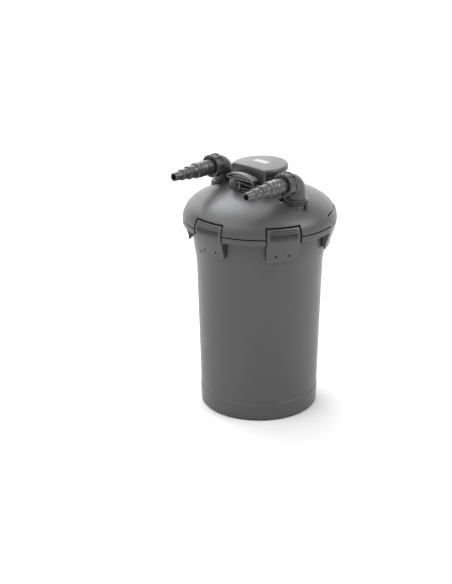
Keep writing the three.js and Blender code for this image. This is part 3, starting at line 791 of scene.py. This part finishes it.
def port_steps(side):
    """Pad, screw ears and bores of one hose port."""
    at = (side * PORT_X, PORT_Y)
    corners = ears(side, *at)
    steps = [("+", spun([(0, 532), (33, 532), (33, PAD_Z, 1.2), (0, PAD_Z)], 4, 96, at))]
    boss = [(0, 534), (6.9, 534), (6.9, 544.7, 0.8), (0, 544.7)]
    steps += [("+", spun(boss, 3, 40, ear)) for ear in corners]
    clear = [(0, PAD_Z), (33.6, PAD_Z, 1.0), (34.4, 590), (0, 590)]
    steps.append(("-", spun(clear, 3, 96, at)))
    for ear in corners:
        steps.append(("-", cylinder(7.4, 544.7, 590, 40, ear)))
        steps.append(("-", cylinder(2.3, 528, 560, 20, ear)))
    steps.append(("+", cylinder(27, 519, 545, 64, at)))
    steps.append(("-", cylinder(20.7, 525, 560, 72, at)))
    steps.append(("-", cylinder(13.5, 505, 540, 48, at)))
    steps.append(("-", cylinder(27.2, 543, 560, 72, at)))
    return steps


def lid_mesh():
    top = [(radius, z) for radius, z in DOME_CURVE[::-1] if z > 519.6]
    inner = rounded(LID_INNER, 4)
    rows = []
    for angle in pocket_columns(1.5):
        side = LID_POCKET if in_pocket(angle) else LID_SIDE
        rows.append([(*polar(radius, angle * DEG), z) for radius, z in top + side + inner])
    collar = spun([(0, 566), (30.5, 566), (30.5, 581, 1.0), (0, 581)], 4)
    return solve(grid(rows, True), *port_steps(-1), *port_steps(1), ("+", collar),
                 ("-", cylinder(26.4, 540, 590, 96)), *rod_holes(2.6, 550, 590, 40), sharp=36)


RIM_SEAL = [(153.8, 474.4, 0.8), (158.6, 475.0, 1.6), (158.6, 479.0, 1.6), (153.8, 479.6, 0.8)]
show("lid_dome", lid_mesh(), "lid", "shell_plastic", SHELL)
show("rim_seal_ring", spun(RIM_SEAL, 5, 180, closed=True), "rim_seal", "seal_rubber", RUBBER)

# ------------------------------------------------------------------ hose elbows
TO_TAIL = Matrix.Rotation(90 * DEG, 4, "X")  # +Z of a turned piece onto -Y
AT_TAIL = Matrix.Translation((0, 0, TAIL_Z)) @ TO_TAIL
COLLAR_TOP = 550.3  # underside of the ring and tabs
COLLAR_RING = [  # radius, z, corner radius
    (24.9, COLLAR_TOP, 0.4), (30.4, COLLAR_TOP, 0.2), (30.4, 551.7, 0.2), (33.2, 552.0, 0.5),
    (33.2, 555.2, 1.2), (29.0, 555.4, 0.3), (28.6, 556.6, 0.3), (30.7, 556.9, 0.4),
    (30.7, 560.6, 1.3), (24.9, 561.0, 0.5)]
NUT_GRIP = [  # distance along the nut, how far under full radius, 1 where panels are sunk
    (24.0, 0.8, 0), (24.4, 0.25, 0), (25.0, 0.0, 0), (27.6, 0.0, 0), (28.1, 0.0, 1),
    (45.3, 0.0, 1), (45.8, 0.0, 0), (48.2, 0.0, 0), (48.9, 0.3, 0), (49.4, 0.9, 0)]
NUT_BORE = [(23.4, 49.4, 0.5), (23.4, 47.6, 0.4), (25.2, 47.6), (25.2, 24.0)]
HOSE_TAIL = [  # radius, distance from the elbow's corner, corner radius; three hose sizes
    (16, 44.6, 0.4), (24, 44.6, 0.3), (24, 47.2, 0.4), (22.9, 47.2, 0.3), (22.6, 45.3, 0.2),
    (19.3, 45.3, 0.4), (18.8, 47.4, 0.8), (18.4, 62), (18.3, 72, 1), (19.9, 74.0, 0.5),
    (19.7, 76.0, 0.6), (17.7, 82, 1), (19.8, 88.2, 0.5), (19.5, 90.0, 0.6), (17.6, 94, 1),
    (19.5, 102.4, 0.5), (19.2, 104.2, 0.8), (15.9, 105.2, 0.8), (15.4, 116, 1),
    (16.9, 127.2, 0.5), (16.5, 128.9, 0.7), (13.0, 129.9, 0.8), (12.8, 140, 1),
    (14.1, 150.2, 0.4), (13.7, 151.8, 0.6), (10.8, 152.8, 0.7), (10.4, 175.4, 0.8),
    (10.0, 176, 0.4), (7.6, 176, 0.5), (13, 100)]


def collar(side):
    """Clamping ring with three screw tabs."""
    steps = []
    for ear in ears(side):
        angle = atan2(ear[1], ear[0])
        normal = Vector((cos(angle + pi / 2), sin(angle + pi / 2)))

        def beside(point, offset):
            return point[0] + offset * normal.x, point[1] + offset * normal.y

        root = polar(28, angle)
        end = [polar(6, angle + pi / 2 - pi * k / 12, ear) for k in range(1, 12)]
        tab = [beside(root, 7.6), beside(ear, 6), *end, beside(ear, -6), beside(root, -7.6)]
        boss = [(0, 545.0), (6, 545.0, 0.5), (6, 552.2, 0.9), (0, 552.2)]
        steps.append(("+", prism(tab, 550.31, 552.0)))
        steps.append(("+", spun(boss, 3, 40, ear)))
    steps.append(("-", cylinder(33.7, 540, COLLAR_TOP, 96)))
    steps.append(("-", cylinder(24.9, 535, 575, 96)))
    steps += [("-", cylinder(2.4, 540, 560, 20, ear)) for ear in ears(side)]
    return solve(spun(COLLAR_RING, 4, closed=True), *steps, sharp=34)


def screw_mesh():
    """Screw with a cross slot."""
    body = spun([(0, 531), (1.2, 531), (1.8, 533), (1.8, 552.3), (3.7, 552.3, 0.3),
                 (3.6, 553.6, 1.1), (1.2, 554.6), (0, 554.6)], 4, 40)
    return solve(body, ("-", box(-2.0, 2.0, -0.35, 0.35, 553.4, 556)),
                 ("-", box(-0.35, 0.35, -2.0, 2.0, 553.4, 556)))


def elbow_line(z0, bend_steps, end_y):
    """Middle line of an elbow, up from z0 and round to the front."""
    bend_z = TAIL_Z - BEND
    line = [(0, 0, z0 + (bend_z - z0) * k / 6) for k in range(7)]
    for k in range(1, bend_steps + 1):
        angle = pi / 2 * k / bend_steps
        line.append((0, -BEND * (1 - cos(angle)), bend_z + BEND * sin(angle)))
    return line + [(0, end_y, TAIL_Z)]


def elbow_mesh():
    pipe = tube([(0, 0, 548)] + elbow_line(PAD_Z, 20, -BEND - 1.5), PIPE_R, 96)
    spigot = moved(spun([(0, 20), (21.5, 20), (21.5, 44, 1.0), (0, 44)], 3), AT_TAIL)
    foot = spun([(0, 543.5), (26.4, 543.5, 0.6), (26.4, 549.6, 0.6), (0, 549.6)], 3)
    plug = spun([(0, 530), (20, 530, 0.8), (20, 545), (0, 545)], 3)
    throat = spun([(0, 548), (24.5, 548), (24.5, 561.5, 0.8), (23.4, 563.5, 0.8), (0, 563.5)], 3)
    groove = lathe([(18, 534), (24, 534), (24, 538.6), (18, 538.6)])
    bore = tube(elbow_line(520, 16, -60), 15.5, 64)
    return solve(pipe, ("+", spigot), ("+", foot), ("+", plug), ("+", throat), ("-", groove),
                 ("-", bore), sharp=32)


def nut_shape():
    """Union nut with eight grip pads between sunken panels."""
    pads, radius, depth = 8, 28.6, 2.3
    angles = [2 * pi * k / 240 for k in range(240)]
    rows = []
    for along, less, sunk in NUT_GRIP:
        row = []
        for angle in angles:
            u = (angle / (2 * pi) * pads) % 1.0
            deep = soft((u - 0.42) / 0.03) * soft((0.96 - u) / 0.03)
            crest = 0.5 * (0.5 - 0.5 * cos(2 * pi * u)) * (1 - deep)
            row.append((*polar(radius - less - depth * deep * sunk - crest, angle), along))
        rows.append(row)
    for bore, along in rounded(NUT_BORE, 2):
        rows.append([(*polar(bore, angle), along) for angle in angles])
    return grid(rows, True)


SCREW_BASE = screw_mesh()
ELBOW_BASE = elbow_mesh()
NUT_BASE = mesh_of(nut_shape(), 34)
NUT_PLACE = (Matrix.Translation((0, 0, TAIL_Z * MM)) @ TO_TAIL
             @ Matrix.Rotation(9 * DEG, 4, "Z"))
for name, side in SIDES.items():
    port = (side * PORT_X, PORT_Y)
    at_metres = Matrix.Translation((port[0] * MM, port[1] * MM, 0))
    at_port = Matrix.Translation((*port, 0))
    ring = copy_of(collar(side), at_metres)
    show(f"collar_{name}", ring, f"port_collar_{name}", "fitting_plastic", FITTING)
    for k, (x, y) in enumerate(ears(side, *port)):
        place = Matrix.Translation((x * MM, y * MM, 0))
        screw = copy_of(SCREW_BASE, place @ Matrix.Rotation((20 + 37 * k) * DEG, 4, "Z"))
        show(f"screw_{name}_{k + 1}", screw, f"collar_screw_{name}_{k + 1}", "stainless", SCREW)
    pipe = copy_of(ELBOW_BASE, at_metres)
    show(f"elbow_pipe_{name}", pipe, f"elbow_{name}", "fitting_plastic", FITTING)
    seal = moved(lathe(rectangle(18.4, 20.2, 534.6, 538, 0.8, 4), 72), at_port)
    show(f"elbow_ring_{name}", seal, f"elbow_seal_{name}", "seal_rubber", RUBBER)
    nut = copy_of(NUT_BASE, at_metres @ NUT_PLACE)
    show(f"nut_{name}", nut, f"union_nut_{name}", "dark_plastic", NUT)
    tail = moved(spun(HOSE_TAIL, 4, closed=True), at_port @ AT_TAIL)
    show(f"stepped_tail_{name}", tail, f"hose_tail_{name}", "dark_plastic", TAIL, sharp=40)
    washer = moved(lathe(rectangle(17, 20.8, 44.1, 44.4, 0.1, 2), 72), at_port @ AT_TAIL)
    show(f"tail_washer_{name}", washer, f"tail_seal_{name}", "seal_rubber", RUBBER)

# ------------------------------------------------------------------ lamp head
CAP_EDGE = [(0.6, 588.3), (0.0, 589.2), (0.0, 617.4), (0.3, 619.6), (1.1, 621.3), (2.4, 622.5),
            (4.6, 623.1)]  # inset, z
QUARTZ_TUBE = [  # radius, z; up the outside and down the inside
    (0, 300), (6, 300.5), (11, 302), (15.5, 304.8), (18.6, 308), (20.9, 312.4), (22, 318),
    (22, 585), (22.4, 585.2), (27, 585.2), (27, 587.4), (20.4, 587.4), (20.2, 586.8),
    (20.2, 318), (19, 313), (17, 309.6), (14, 306.6), (10, 304.4), (5, 302.9), (0, 302.5)]
SLEEVE_SEAL = [(22.4, 574.4, 0.9), (25.6, 574.4, 1.2), (25.6, 577.8, 1.2), (22.4, 577.8, 0.9)]


def head_outline(radius, flat, corner, z):
    """Ring of points: a disc with its front cut flat and the two corners rounded."""
    round_steps, corner_steps, flat_steps = 110, 10, 24
    corner_x = sqrt((radius - corner) ** 2 - (flat + corner) ** 2)
    corner_y = flat + corner
    start = atan2(corner_y, corner_x)
    turn = pi / 2 + start
    points = [polar(radius, start + (pi - 2 * start) * k / round_steps)
              for k in range(round_steps)]
    points += [polar(corner, pi - start + turn * k / corner_steps, (-corner_x, corner_y))
               for k in range(corner_steps)]
    points += [(-corner_x + 2 * corner_x * k / flat_steps, flat) for k in range(flat_steps)]
    points += [polar(corner, -pi / 2 + turn * k / corner_steps, (corner_x, corner_y))
               for k in range(corner_steps)]
    return [(x, y, z) for x, y in points]


def cap_ring(inset, z):
    corner = HEAD_CORNER - inset * 0.5
    return head_outline(HEAD_R - inset, HEAD_FLAT + inset, corner, z)


def crown(x, y):
    """Rise of the cap's top."""
    return 3.0 * (1 - (x / 66.0) ** 2) - 0.6 * ((y - 8) / 60) ** 2


def cap_mesh():
    rows = []
    for inset, height in CAP_EDGE:
        rise = soft((height - 612) / 9)
        rows.append([(x, y, z + crown(x, y) * rise) for x, y, z in cap_ring(inset, height)])
    last_inset, last_z = CAP_EDGE[-1]
    last = cap_ring(last_inset, 0)
    for share in (0.93, 0.84, 0.72, 0.58, 0.42, 0.26, 0.1):
        points = [(x * share, 6 + (y - 6) * share) for x, y, _ in last]
        rows.append([(x, y, last_z + 0.5 * (1 - share) + crown(x, y)) for x, y in points])
    inner = grid([head_outline(HEAD_R - 3.6, HEAD_FLAT + 3.6, 6, z) for z in (570, 619.4)])
    behind = box(-90, 90, HEAD_FLAT + 3.4, 90, 570, 613)
    return solve(grid(rows), ("-", behind), ("-", inner), sharp=34)


def base_mesh():
    """Tray under the cap, hollowed from both faces and fitted to the dome."""
    edge = ((0, 560), (0, 611.6), (0.3, 612.3), (1.0, 612.6))  # inset, z
    body = grid([head_outline(65 - inset, -38.4 + inset, 8, z) for inset, z in edge])
    radii = (90, 80, 74, 68, 62, 55, 48, 41, 33, 25, 16, 8, 0)
    dome = lathe([(0, 540), (90, 540)] + [(r, dome_z(r) + 0.9) for r in radii], 128)
    gland_place = Matrix.Translation((0, 62, CABLE_Z)) @ Matrix.Rotation(90 * DEG, 4, "X")
    return solve(body, ("-", grid([head_outline(61.4, -34.9, 7, z) for z in (584.6, 620)])),
                 ("-", grid([head_outline(58, -31.5, 6, z) for z in (550, 581.4)])),
                 ("-", dome), ("-", cylinder(22.6, 550, 590, 96)),
                 ("-", moved(cylinder(5, -10, 10, 40), gland_place)), sharp=34)


def lamp_mesh():
    """Two glass tubes joined near the bottom, with a ceramic cap and four pins."""
    leg = [(0, 322), (2.5, 322.4), (4.4, 323.8), (5.6, 325.8), (6, 328), (6, 566), (0, 566)]
    bridge = [(-6 + 12 * k / 8, 0, 335 + 0.4 * sin(pi * k / 8)) for k in range(9)]
    tubes = joined(lathe(leg, 48, (-8, 0)), lathe(leg, 48, (8, 0)), tube(bridge, 2.6, 24))
    cap = spun([(0, 562), (15.4, 562, 1.2), (16, 566, 1), (16, 584, 1.2), (14.8, 586),
                (0, 586)], 4, 64)
    pins = [cylinder(1.1, 585, 588, 16, polar(6, a)) for a in (0.78, 2.36, 3.93, 5.5)]
    return combined(mesh_of(tubes, 40), mesh_of(joined(cap, *pins), 34), 36, second_slot=1)


def socket_shape():
    body = spun([(0, 588.3), (19, 588.3, 1), (19, 599.9, 1.6), (0, 599.9)], 4, 72)
    return joined(body, prism(rectangle(-24, 24, -6, 6, 2, 4), 588.3, 592.8))


def board_shape():
    top = 589.8
    cans = ((-26, 31, 5, 14), (-26, 40, 4, 11), (18, 40, 4.5, 12), (27, 30, 5.2, 15))
    blocks = ((-17, -1, 27, 43, 16), (2, 12, 26, 33, 7), (3, 10, 37, 44, 5), (17, 22, 26, 34, 9))
    parts = [prism(rectangle(-34, 34, 24, 46, 1.5, 3), 588, top)]
    for x, y, radius, height in cans:
        can = [(0, top), (radius, top), (radius, top + height, 0.8), (0, top + height)]
        parts.append(spun(can, 3, 32, (x, y)))
    for *sides, height in blocks:  # x0, x1, y0, y1, height
        parts.append(prism(rectangle(*sides, 1, 2), top, top + height))
    return joined(*parts)


show("lamp_head_cap", cap_mesh(), "uvc_cap", "fitting_plastic", CAP)
show("lamp_head_base", base_mesh(), "uvc_base", "dark_plastic", DARK)
show("quartz_tube", lathe(QUARTZ_TUBE), "quartz_sleeve", "quartz", QUARTZ, sharp=50)
show("sleeve_ring", spun(SLEEVE_SEAL, 5, closed=True), "sleeve_seal", "seal_rubber", RUBBER)
show("uvc_tube", lamp_mesh(), "uvc_lamp", "lamp_glass", LAMP, CERAMIC)
show("lamp_socket", socket_shape(), "lamp_holder", "lamp_ceramic", CERAMIC)
show("ballast_circuit", board_shape(), "ballast_board", "circuit_board", BOARD)

# ------------------------------------------------------------------ mains cable and its gland
GLAND = [  # radius, y, whether the section is a hexagon with its corners cut at that radius
    (4.6, 57, 0), (4.7, 65.6, 0), (8.2, 65.7, 1), (8.2, 70.4, 1), (7.4, 71.0, 0), (7.0, 71.6, 0),
    (6.4, 76.6, 0), (5.6, 78, 0), (4.2, 78, 0), (3.9, 77.4, 0), (3.9, 57, 0)]
CABLE_BEND = [(0, 82, CABLE_Z), (0, 97, CABLE_Z), (-14, 108, 592), (-44, 112, 577)]  # Bezier


def gland_shape():
    rows = []
    for radius, along, hexagon in GLAND:
        row = []
        for k in range(96):
            angle = 2 * pi * k / 96
            reach = radius
            if hexagon:
                reach = min(radius, 7.3 / cos(((angle + pi / 6) % (pi / 3)) - pi / 6))
            row.append((*polar(reach, angle), along))
        rows.append(row)
    to_back = Matrix.Translation((0, 0, CABLE_Z)) @ Matrix.Rotation(-90 * DEG, 4, "X")
    return moved(grid(rows, True), to_back)


def cable_path():
    path = [(0, 55 + 27 * k / 6, CABLE_Z) for k in range(6)]
    for k in range(37):
        t = k / 36
        path.append(tuple((1 - t) ** 3 * start + 3 * (1 - t) ** 2 * t * leave
                          + 3 * (1 - t) * t * t * arrive + t**3 * end
                          for start, leave, arrive, end in zip(*CABLE_BEND)))
    return path


def cable_mesh():
    """Cable with three copper wires showing at its cut end."""
    path = cable_path()
    end = Vector(path[-1])
    axis = (end - Vector(path[-3])).normalized()
    aside = axis.orthogonal().normalized()
    wires = []
    for k in range(3):
        middle = end + Matrix.Rotation(k * 2 * pi / 3, 3, axis) @ aside * 1.45
        wires.append(tube([tuple(middle - axis * 2), tuple(middle + axis * 0.6)], 0.95, 20))
    sheath = tube(path, 3.4, tip=3.15)
    return combined(mesh_of(sheath, 40), mesh_of(joined(*wires), 40), 36, second_slot=1)


show("cable_gland_nut", gland_shape(), "cable_gland", "dark_plastic", DARK, sharp=28)
show("mains_lead", cable_mesh(), "mains_cable", "seal_rubber", CABLE, COPPER)

# ------------------------------------------------------------------ pull handle and its bracket
WALL_INNER, WALL_OUTER, WALL_HALF = 71.0, 74.5, 48  # bracket wall: radii, half angle
WALL_FOOT = 568.9
GRIP_SECTION = [  # inset of the outline, y from the back to the front and into the front face
    (2.6, -51.5), (1.2, -51.9), (0.35, -52.9), (0, -54.2), (0, -60), (0, -67), (0, -73.4),
    (0.3, -74.4), (1.0, -75.0), (2.2, -75.1), (2.8, -74.8), (3.1, -74.2), (3.3, -70.0),
    (4.0, -69.2)]


def plate_top(x):
    return 587.0 + 6.0 * (1 - soft((abs(x) - 2) / 30)) - 3.2 * soft((abs(x) - 37) / 16)


def level(z):
    return lambda x: z


def under_top(drop):
    return lambda x: plate_top(x) - drop


def curved_bar(inner, outer, start, end, low, high, steps=40, edge=0.7):
    """A bar bent round the axis in front of the lamp head.

    start and end are angles from straight ahead, low and high are functions of x.
    """
    rows = []
    for k in range(steps + 1):
        angle = (start + (end - start) * k / steps) * DEG
        x = outer * sin(angle)
        section = rectangle(inner, outer, low(x), high(x), edge, 3)
        rows.append([(radius * sin(angle), -radius * cos(angle), z) for radius, z in section])
    return grid(rows)


def bracket_mesh():
    inner, outer, half, foot = WALL_INNER, WALL_OUTER, WALL_HALF, level(WALL_FOOT)
    parts = [
        curved_bar(inner, outer, -half, half, foot, level(571.6)),
        curved_bar(inner + 0.4, outer - 0.3, -30, 30, level(575.4), level(578.6), edge=0.9),
        curved_bar(inner, outer + 0.4, -half, half, under_top(3.6), plate_top, 64, 1.2),
        curved_bar(inner, outer, -half, -28.6, foot, under_top(0.8), 12),
        curved_bar(inner, outer, 28.6, half, foot, under_top(0.8), 12),
        curved_bar(inner, outer + 0.9, -2.6, 2.6, foot, level(593.6), 8, 1.0),
    ]
    for side in SIDES.values():  # cheeks at the ends
        x = side * 74.0 * sin(half * DEG)
        cheek = rectangle(-49.6, -45, 569.6, 584, 1, 3)
        parts.append(grid([[(end, y, z) for y, z in cheek] for end in (x - side * 3.4, x)]))
    # deck running back from the front wall to the lamp head
    rows = []
    for k in range(49):
        x = -55.2 + 110.4 * k / 48
        front, top = -sqrt(73.5**2 - x * x), plate_top(x)
        rows.append([(x, y, z) for y, z in rectangle(front, -45, top - 3, top, 0.8, 2)])
    deck = solve(grid(rows), *rod_holes(0.6, 555, 604, 40), sharp=34)
    return combined(mesh_of(joined(*parts), 34), deck, 34)


def grip_row(inset, y):
    """Outline of the grip, flat below and arched above, drawn in by inset."""
    half, low = 41.5 - inset, 596.6 + inset
    middle, end = 614.5 - inset, 603.5 - inset
    points = [(-half, low, 2.2), (half, low, 2.2), (half, end, 2.6)]
    for k in range(1, 28):
        t = 1 - 2 * k / 28
        points.append((half * t, middle - (middle - end) * abs(t) ** 2.2))
    points.append((-half, end, 2.6))
    # the top falls away a little towards the back
    fall = max(0.0, (y + 68) / 16) ** 2 * 3.0
    return [(x, y, z - fall * max(0, min(1, (z - 606) / 5)))
            for x, z in rounded(points, 4, True)]


show("handle_bridge", bracket_mesh(), "handle_bracket", "fitting_plastic", FITTING)
grip = solve(grid([grip_row(inset, y) for inset, y in GRIP_SECTION]),
             *rod_holes(0.3, 585, 605, 40), sharp=34)
show("pull_grip", grip, "handle_grip", "fitting_plastic", GRIP_LIGHTENED)
ROD = [(0, 41), (8, 41, 0.6), (8, 45.6, 0.6), (ROD_R, 45.8, 0.8), (ROD_R, 604.6, 0.6),
       (0, 604.6)]
ROD_GLAND = [(ROD_R + 0.4, 561, 0.3), (6.2, 561, 0.5), (6.2, 571.3), (7.4, 571.3, 0.5),
             (7.4, 575, 0.8), (ROD_R + 0.4, 575, 0.4)]
for name, side in SIDES.items():
    at = (side * ROD_X, ROD_Y)
    show(f"rod_{name}", spun(ROD, 4, 64, at), f"pull_rod_{name}", "stainless", STEEL)
    gland = spun(ROD_GLAND, 4, 64, at, closed=True)
    show(f"gland_{name}", gland, f"rod_gland_{name}", "dark_plastic", DARK)

# ------------------------------------------------------------------ filter insert
INLET = (-PORT_X, PORT_Y)
INLET_PIPE = [(10.6, 75, 0.6), (13, 75, 0.8), (13, 526, 0.8), (10.6, 526, 0.6)]
WINDOW_ANGLES = (25, 65, 115, 305, 345)
FOAM_LOW, FOAM_HIGH, FOAM_COUNT = 52.4, 461.6, 4  # stack of foam rings
FOAM_R, FOAM_HOLE = 136.0, 42


def plate_mesh(radius, z0, z1, hole):
    """Disc with barred windows."""
    disc = spun([(hole, z0, 0.8), (radius, z0, 0.9), (radius, z1, 0.9), (hole, z1, 0.8)],
                3, 180, closed=True)
    low, high = z0 - 5, z1 + 5
    window = prism(rectangle(75, 118, -9, 9, 3, 4), low, high)
    steps = [("-", cylinder(14.4, low, high, 48, INLET)), *rod_holes(0.5, low, high, 32)]
    steps += [("-", rotated(window, angle)) for angle in WINDOW_ANGLES]
    bars = [box(74, 119, y - 0.8, y + 0.8, z0 + 1.2, z1 - 1.2) for y in (-3, 3)]
    bars += [box(x - 0.8, x + 0.8, -9.4, 9.4, z0 + 1.2, z1 - 1.2) for x in (86, 96.5, 107)]
    bars = [rotated(bar, angle) for angle in WINDOW_ANGLES for bar in bars]
    return combined(solve(disc, *steps, sharp=34), mesh_of(joined(*bars), 34), 34)


def foam_profile(z0, z1):
    """Ring section with slightly bulging sides and eased edges."""
    height = z1 - z0
    face = [(FOAM_HOLE + (FOAM_R - FOAM_HOLE) * k / 8, 0.0 if 0 < k < 8 else 1.4)
            for k in range(9)]
    profile = [(radius, z0 + drop) for radius, drop in face]
    for k in range(1, 12):
        t = k / 12
        profile.append((FOAM_R - 0.2 - 1.2 * (1 - sin(pi * t)), z0 + height * t))
    profile += [(radius, z1 - drop) for radius, drop in face[::-1]]
    for k in range(11, 0, -1):
        t = k / 12
        profile.append((42.4 + 1.0 * sin(pi * t), z0 + height * t))
    return profile


def foam_mesh(z0, z1, seed):
    """Foam ring with an unevenly cut outer side."""
    mesh = solve(mesh_of(lathe(foam_profile(z0, z1), 120), 60),
                 ("-", cylinder(14.6, z0 - 5, z1 + 5, 40, INLET)),
                 *rod_holes(1.2, z0 - 5, z1 + 5, 24), sharp=60)
    random = np.random.default_rng(seed)
    places = np.zeros(len(mesh.vertices) * 3)
    mesh.vertices.foreach_get("co", places)
    places = places.reshape(-1, 3)
    radii = np.hypot(places[:, 0], places[:, 1])
    pull = random.normal(0, 0.00025, len(places))
    outward = places[:, :2] / np.maximum(radii, 1e-6)[:, None]
    side = radii > 0.1335
    places[side, :2] -= outward[side] * np.abs(pull[side])[:, None] * 1.5
    mesh.vertices.foreach_set("co", places.ravel())
    mesh.update()
    return mesh


inlet = spun(INLET_PIPE, 4, 72, INLET, closed=True)
show("inlet_tube", inlet, "inlet_pipe", "dark_plastic", INNER_AND_SHADE)
show("upper_grid", plate_mesh(150.5, 462.2, 468, 27), "top_grid", "dark_plastic", INNER_AND_SHADE)
show("lower_plate", plate_mesh(135, 46, 52, 40), "bottom_plate", "dark_plastic", INNER_AND_SHADE)
stack = FOAM_HIGH - FOAM_LOW
pitch = stack / FOAM_COUNT
for i in range(FOAM_COUNT):
    bottom, top = FOAM_LOW + pitch * i + 0.2, FOAM_LOW + pitch * (i + 1) - 0.2
    slot, material = ("foam_coarse", FOAM_BLUE) if i < 2 else ("foam_fine", FOAM_GREY)
    ring = foam_mesh(bottom, top, 11 + i)
    piece = show(f"foam_ring_{i + 1}", ring, f"foam_{i + 1}", slot, material)
    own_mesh(piece)


# ------------------------------------------------------------------ floor, light, camera
def add_floor():
    size, z = 9, -0.0004
    mesh = bpy.data.meshes.new("floor")
    corners = [(-size, -size, z), (size, -size, z), (size, size, z), (-size, size, z)]
    mesh.from_pydata(corners, [], [(0, 1, 2, 3)])
    floor = bpy.data.objects.new("floor", mesh)
    SCENE.collection.objects.link(floor)
    mesh.materials.append(paper("floor_paper"))


def direction(azimuth, elevation, distance=1):
    azimuth, elevation = azimuth * DEG, elevation * DEG
    return (distance * cos(azimuth) * cos(elevation), distance * sin(azimuth) * cos(elevation),
            distance * sin(elevation))


def add_world():
    """A bright sweep behind the object, a dimmer room round it and three soft round lights."""
    sweep_azimuth, sweep_gain = 133 * DEG, 1.08
    lobes = (  # azimuth, elevation, peak, tightness
        (159, 50, 4.8, 13), (-115, 49, 3.4, 13), (27, 41, 7.0, 26))
    SCENE.world = bpy.data.worlds.new("studio")
    SCENE.world.use_nodes = True
    studio = Nodes(SCENE.world.node_tree)
    step = {"interpolation_type": "SMOOTHSTEP"}
    ray = studio.node("TexCoord").outputs["Generated"]
    x, y, z = studio.node("SeparateXYZ", Vector=ray).outputs
    back = studio.math("ADD", studio.math("MULTIPLY", x, cos(sweep_azimuth)),
                       studio.math("MULTIPLY", y, sin(sweep_azimuth)))
    sweep = studio.math("MULTIPLY", studio.span(back, low=0.42, high=0.8, **step),
                        studio.span(z, low=0.62, high=0.42, **step))
    room = studio.span(z, low=-0.2, high=0.9, start=0.72, end=0.66, **step)
    light = studio.math("ADD", room, studio.math("MULTIPLY", sweep, sweep_gain))
    for azimuth, elevation, peak, tightness in lobes:
        off = studio.math("SUBTRACT", studio.dot(ray, direction(azimuth, elevation)), 1.0)
        glow = studio.math("EXPONENT", studio.math("MULTIPLY", off, tightness), 0.0)
        light = studio.math("ADD", light, studio.math("MULTIPLY", glow, peak))
    # the camera itself sees plain white
    seen = studio.node("LightPath").outputs["Is Camera Ray"]
    unseen = studio.math("SUBTRACT", 1.0, seen)
    light = studio.math("ADD", studio.math("MULTIPLY", light, unseen), seen)
    background = studio.node("Background", Color=(1, 1, 1, 1), Strength=light)
    studio.node("OutputWorld", background.outputs[0])


def add_softbox(name, azimuth, elevation, distance, size, power, tint):
    """A rectangular light in the given direction from the lid."""
    target = (0, 0, 0.5)
    x, y, z = direction(azimuth, elevation, distance)
    place = (x, y, target[2] + z)
    light = bpy.data.lights.new(name, "AREA")
    light.shape = "RECTANGLE"
    light.size, light.size_y = size
    light.energy = power
    light.color = tint
    lamp = bpy.data.objects.new(name, light)
    SCENE.collection.objects.link(lamp)
    lamp.location = place
    aim = Vector(target) - Vector(place)
    lamp.rotation_euler = aim.to_track_quat("-Z", "Y").to_euler()


def add_camera():
    pan, tilt, roll = -0.0244373, 0.371195, -0.00310863  # radians, before the turn about Z
    turn = Matrix.Rotation(42 * DEG, 3, "Z")
    ahead = Vector((sin(pan) * cos(tilt), cos(pan) * cos(tilt), -sin(tilt)))
    level_right = ahead.cross(Vector((0, 0, 1))).normalized()
    level_up = level_right.cross(ahead)
    right = cos(roll) * level_right + sin(roll) * level_up
    up = -sin(roll) * level_right + cos(roll) * level_up
    ahead, right, up = turn @ ahead, turn @ right, turn @ up
    data = bpy.data.cameras.new("camera")
    data.lens, data.sensor_width, data.sensor_fit = 90.2921918, 36, "AUTO"
    data.clip_end = 50
    camera = bpy.data.objects.new("camera", data)
    SCENE.collection.objects.link(camera)
    pose = Matrix((right, up, -ahead)).transposed().to_4x4()
    pose.translation = Vector((2.2944, -2.5482, 1.6220))
    camera.matrix_world = pose
    SCENE.camera = camera


add_floor()
add_world()
add_softbox("key", azimuth=157, elevation=51, distance=2.6, size=(1.0, 1.0), power=7,
            tint=(0.88, 0.93, 1.0))
add_camera()
SCENE.view_settings.view_transform = "Standard"
SCENE.view_settings.look = "None"
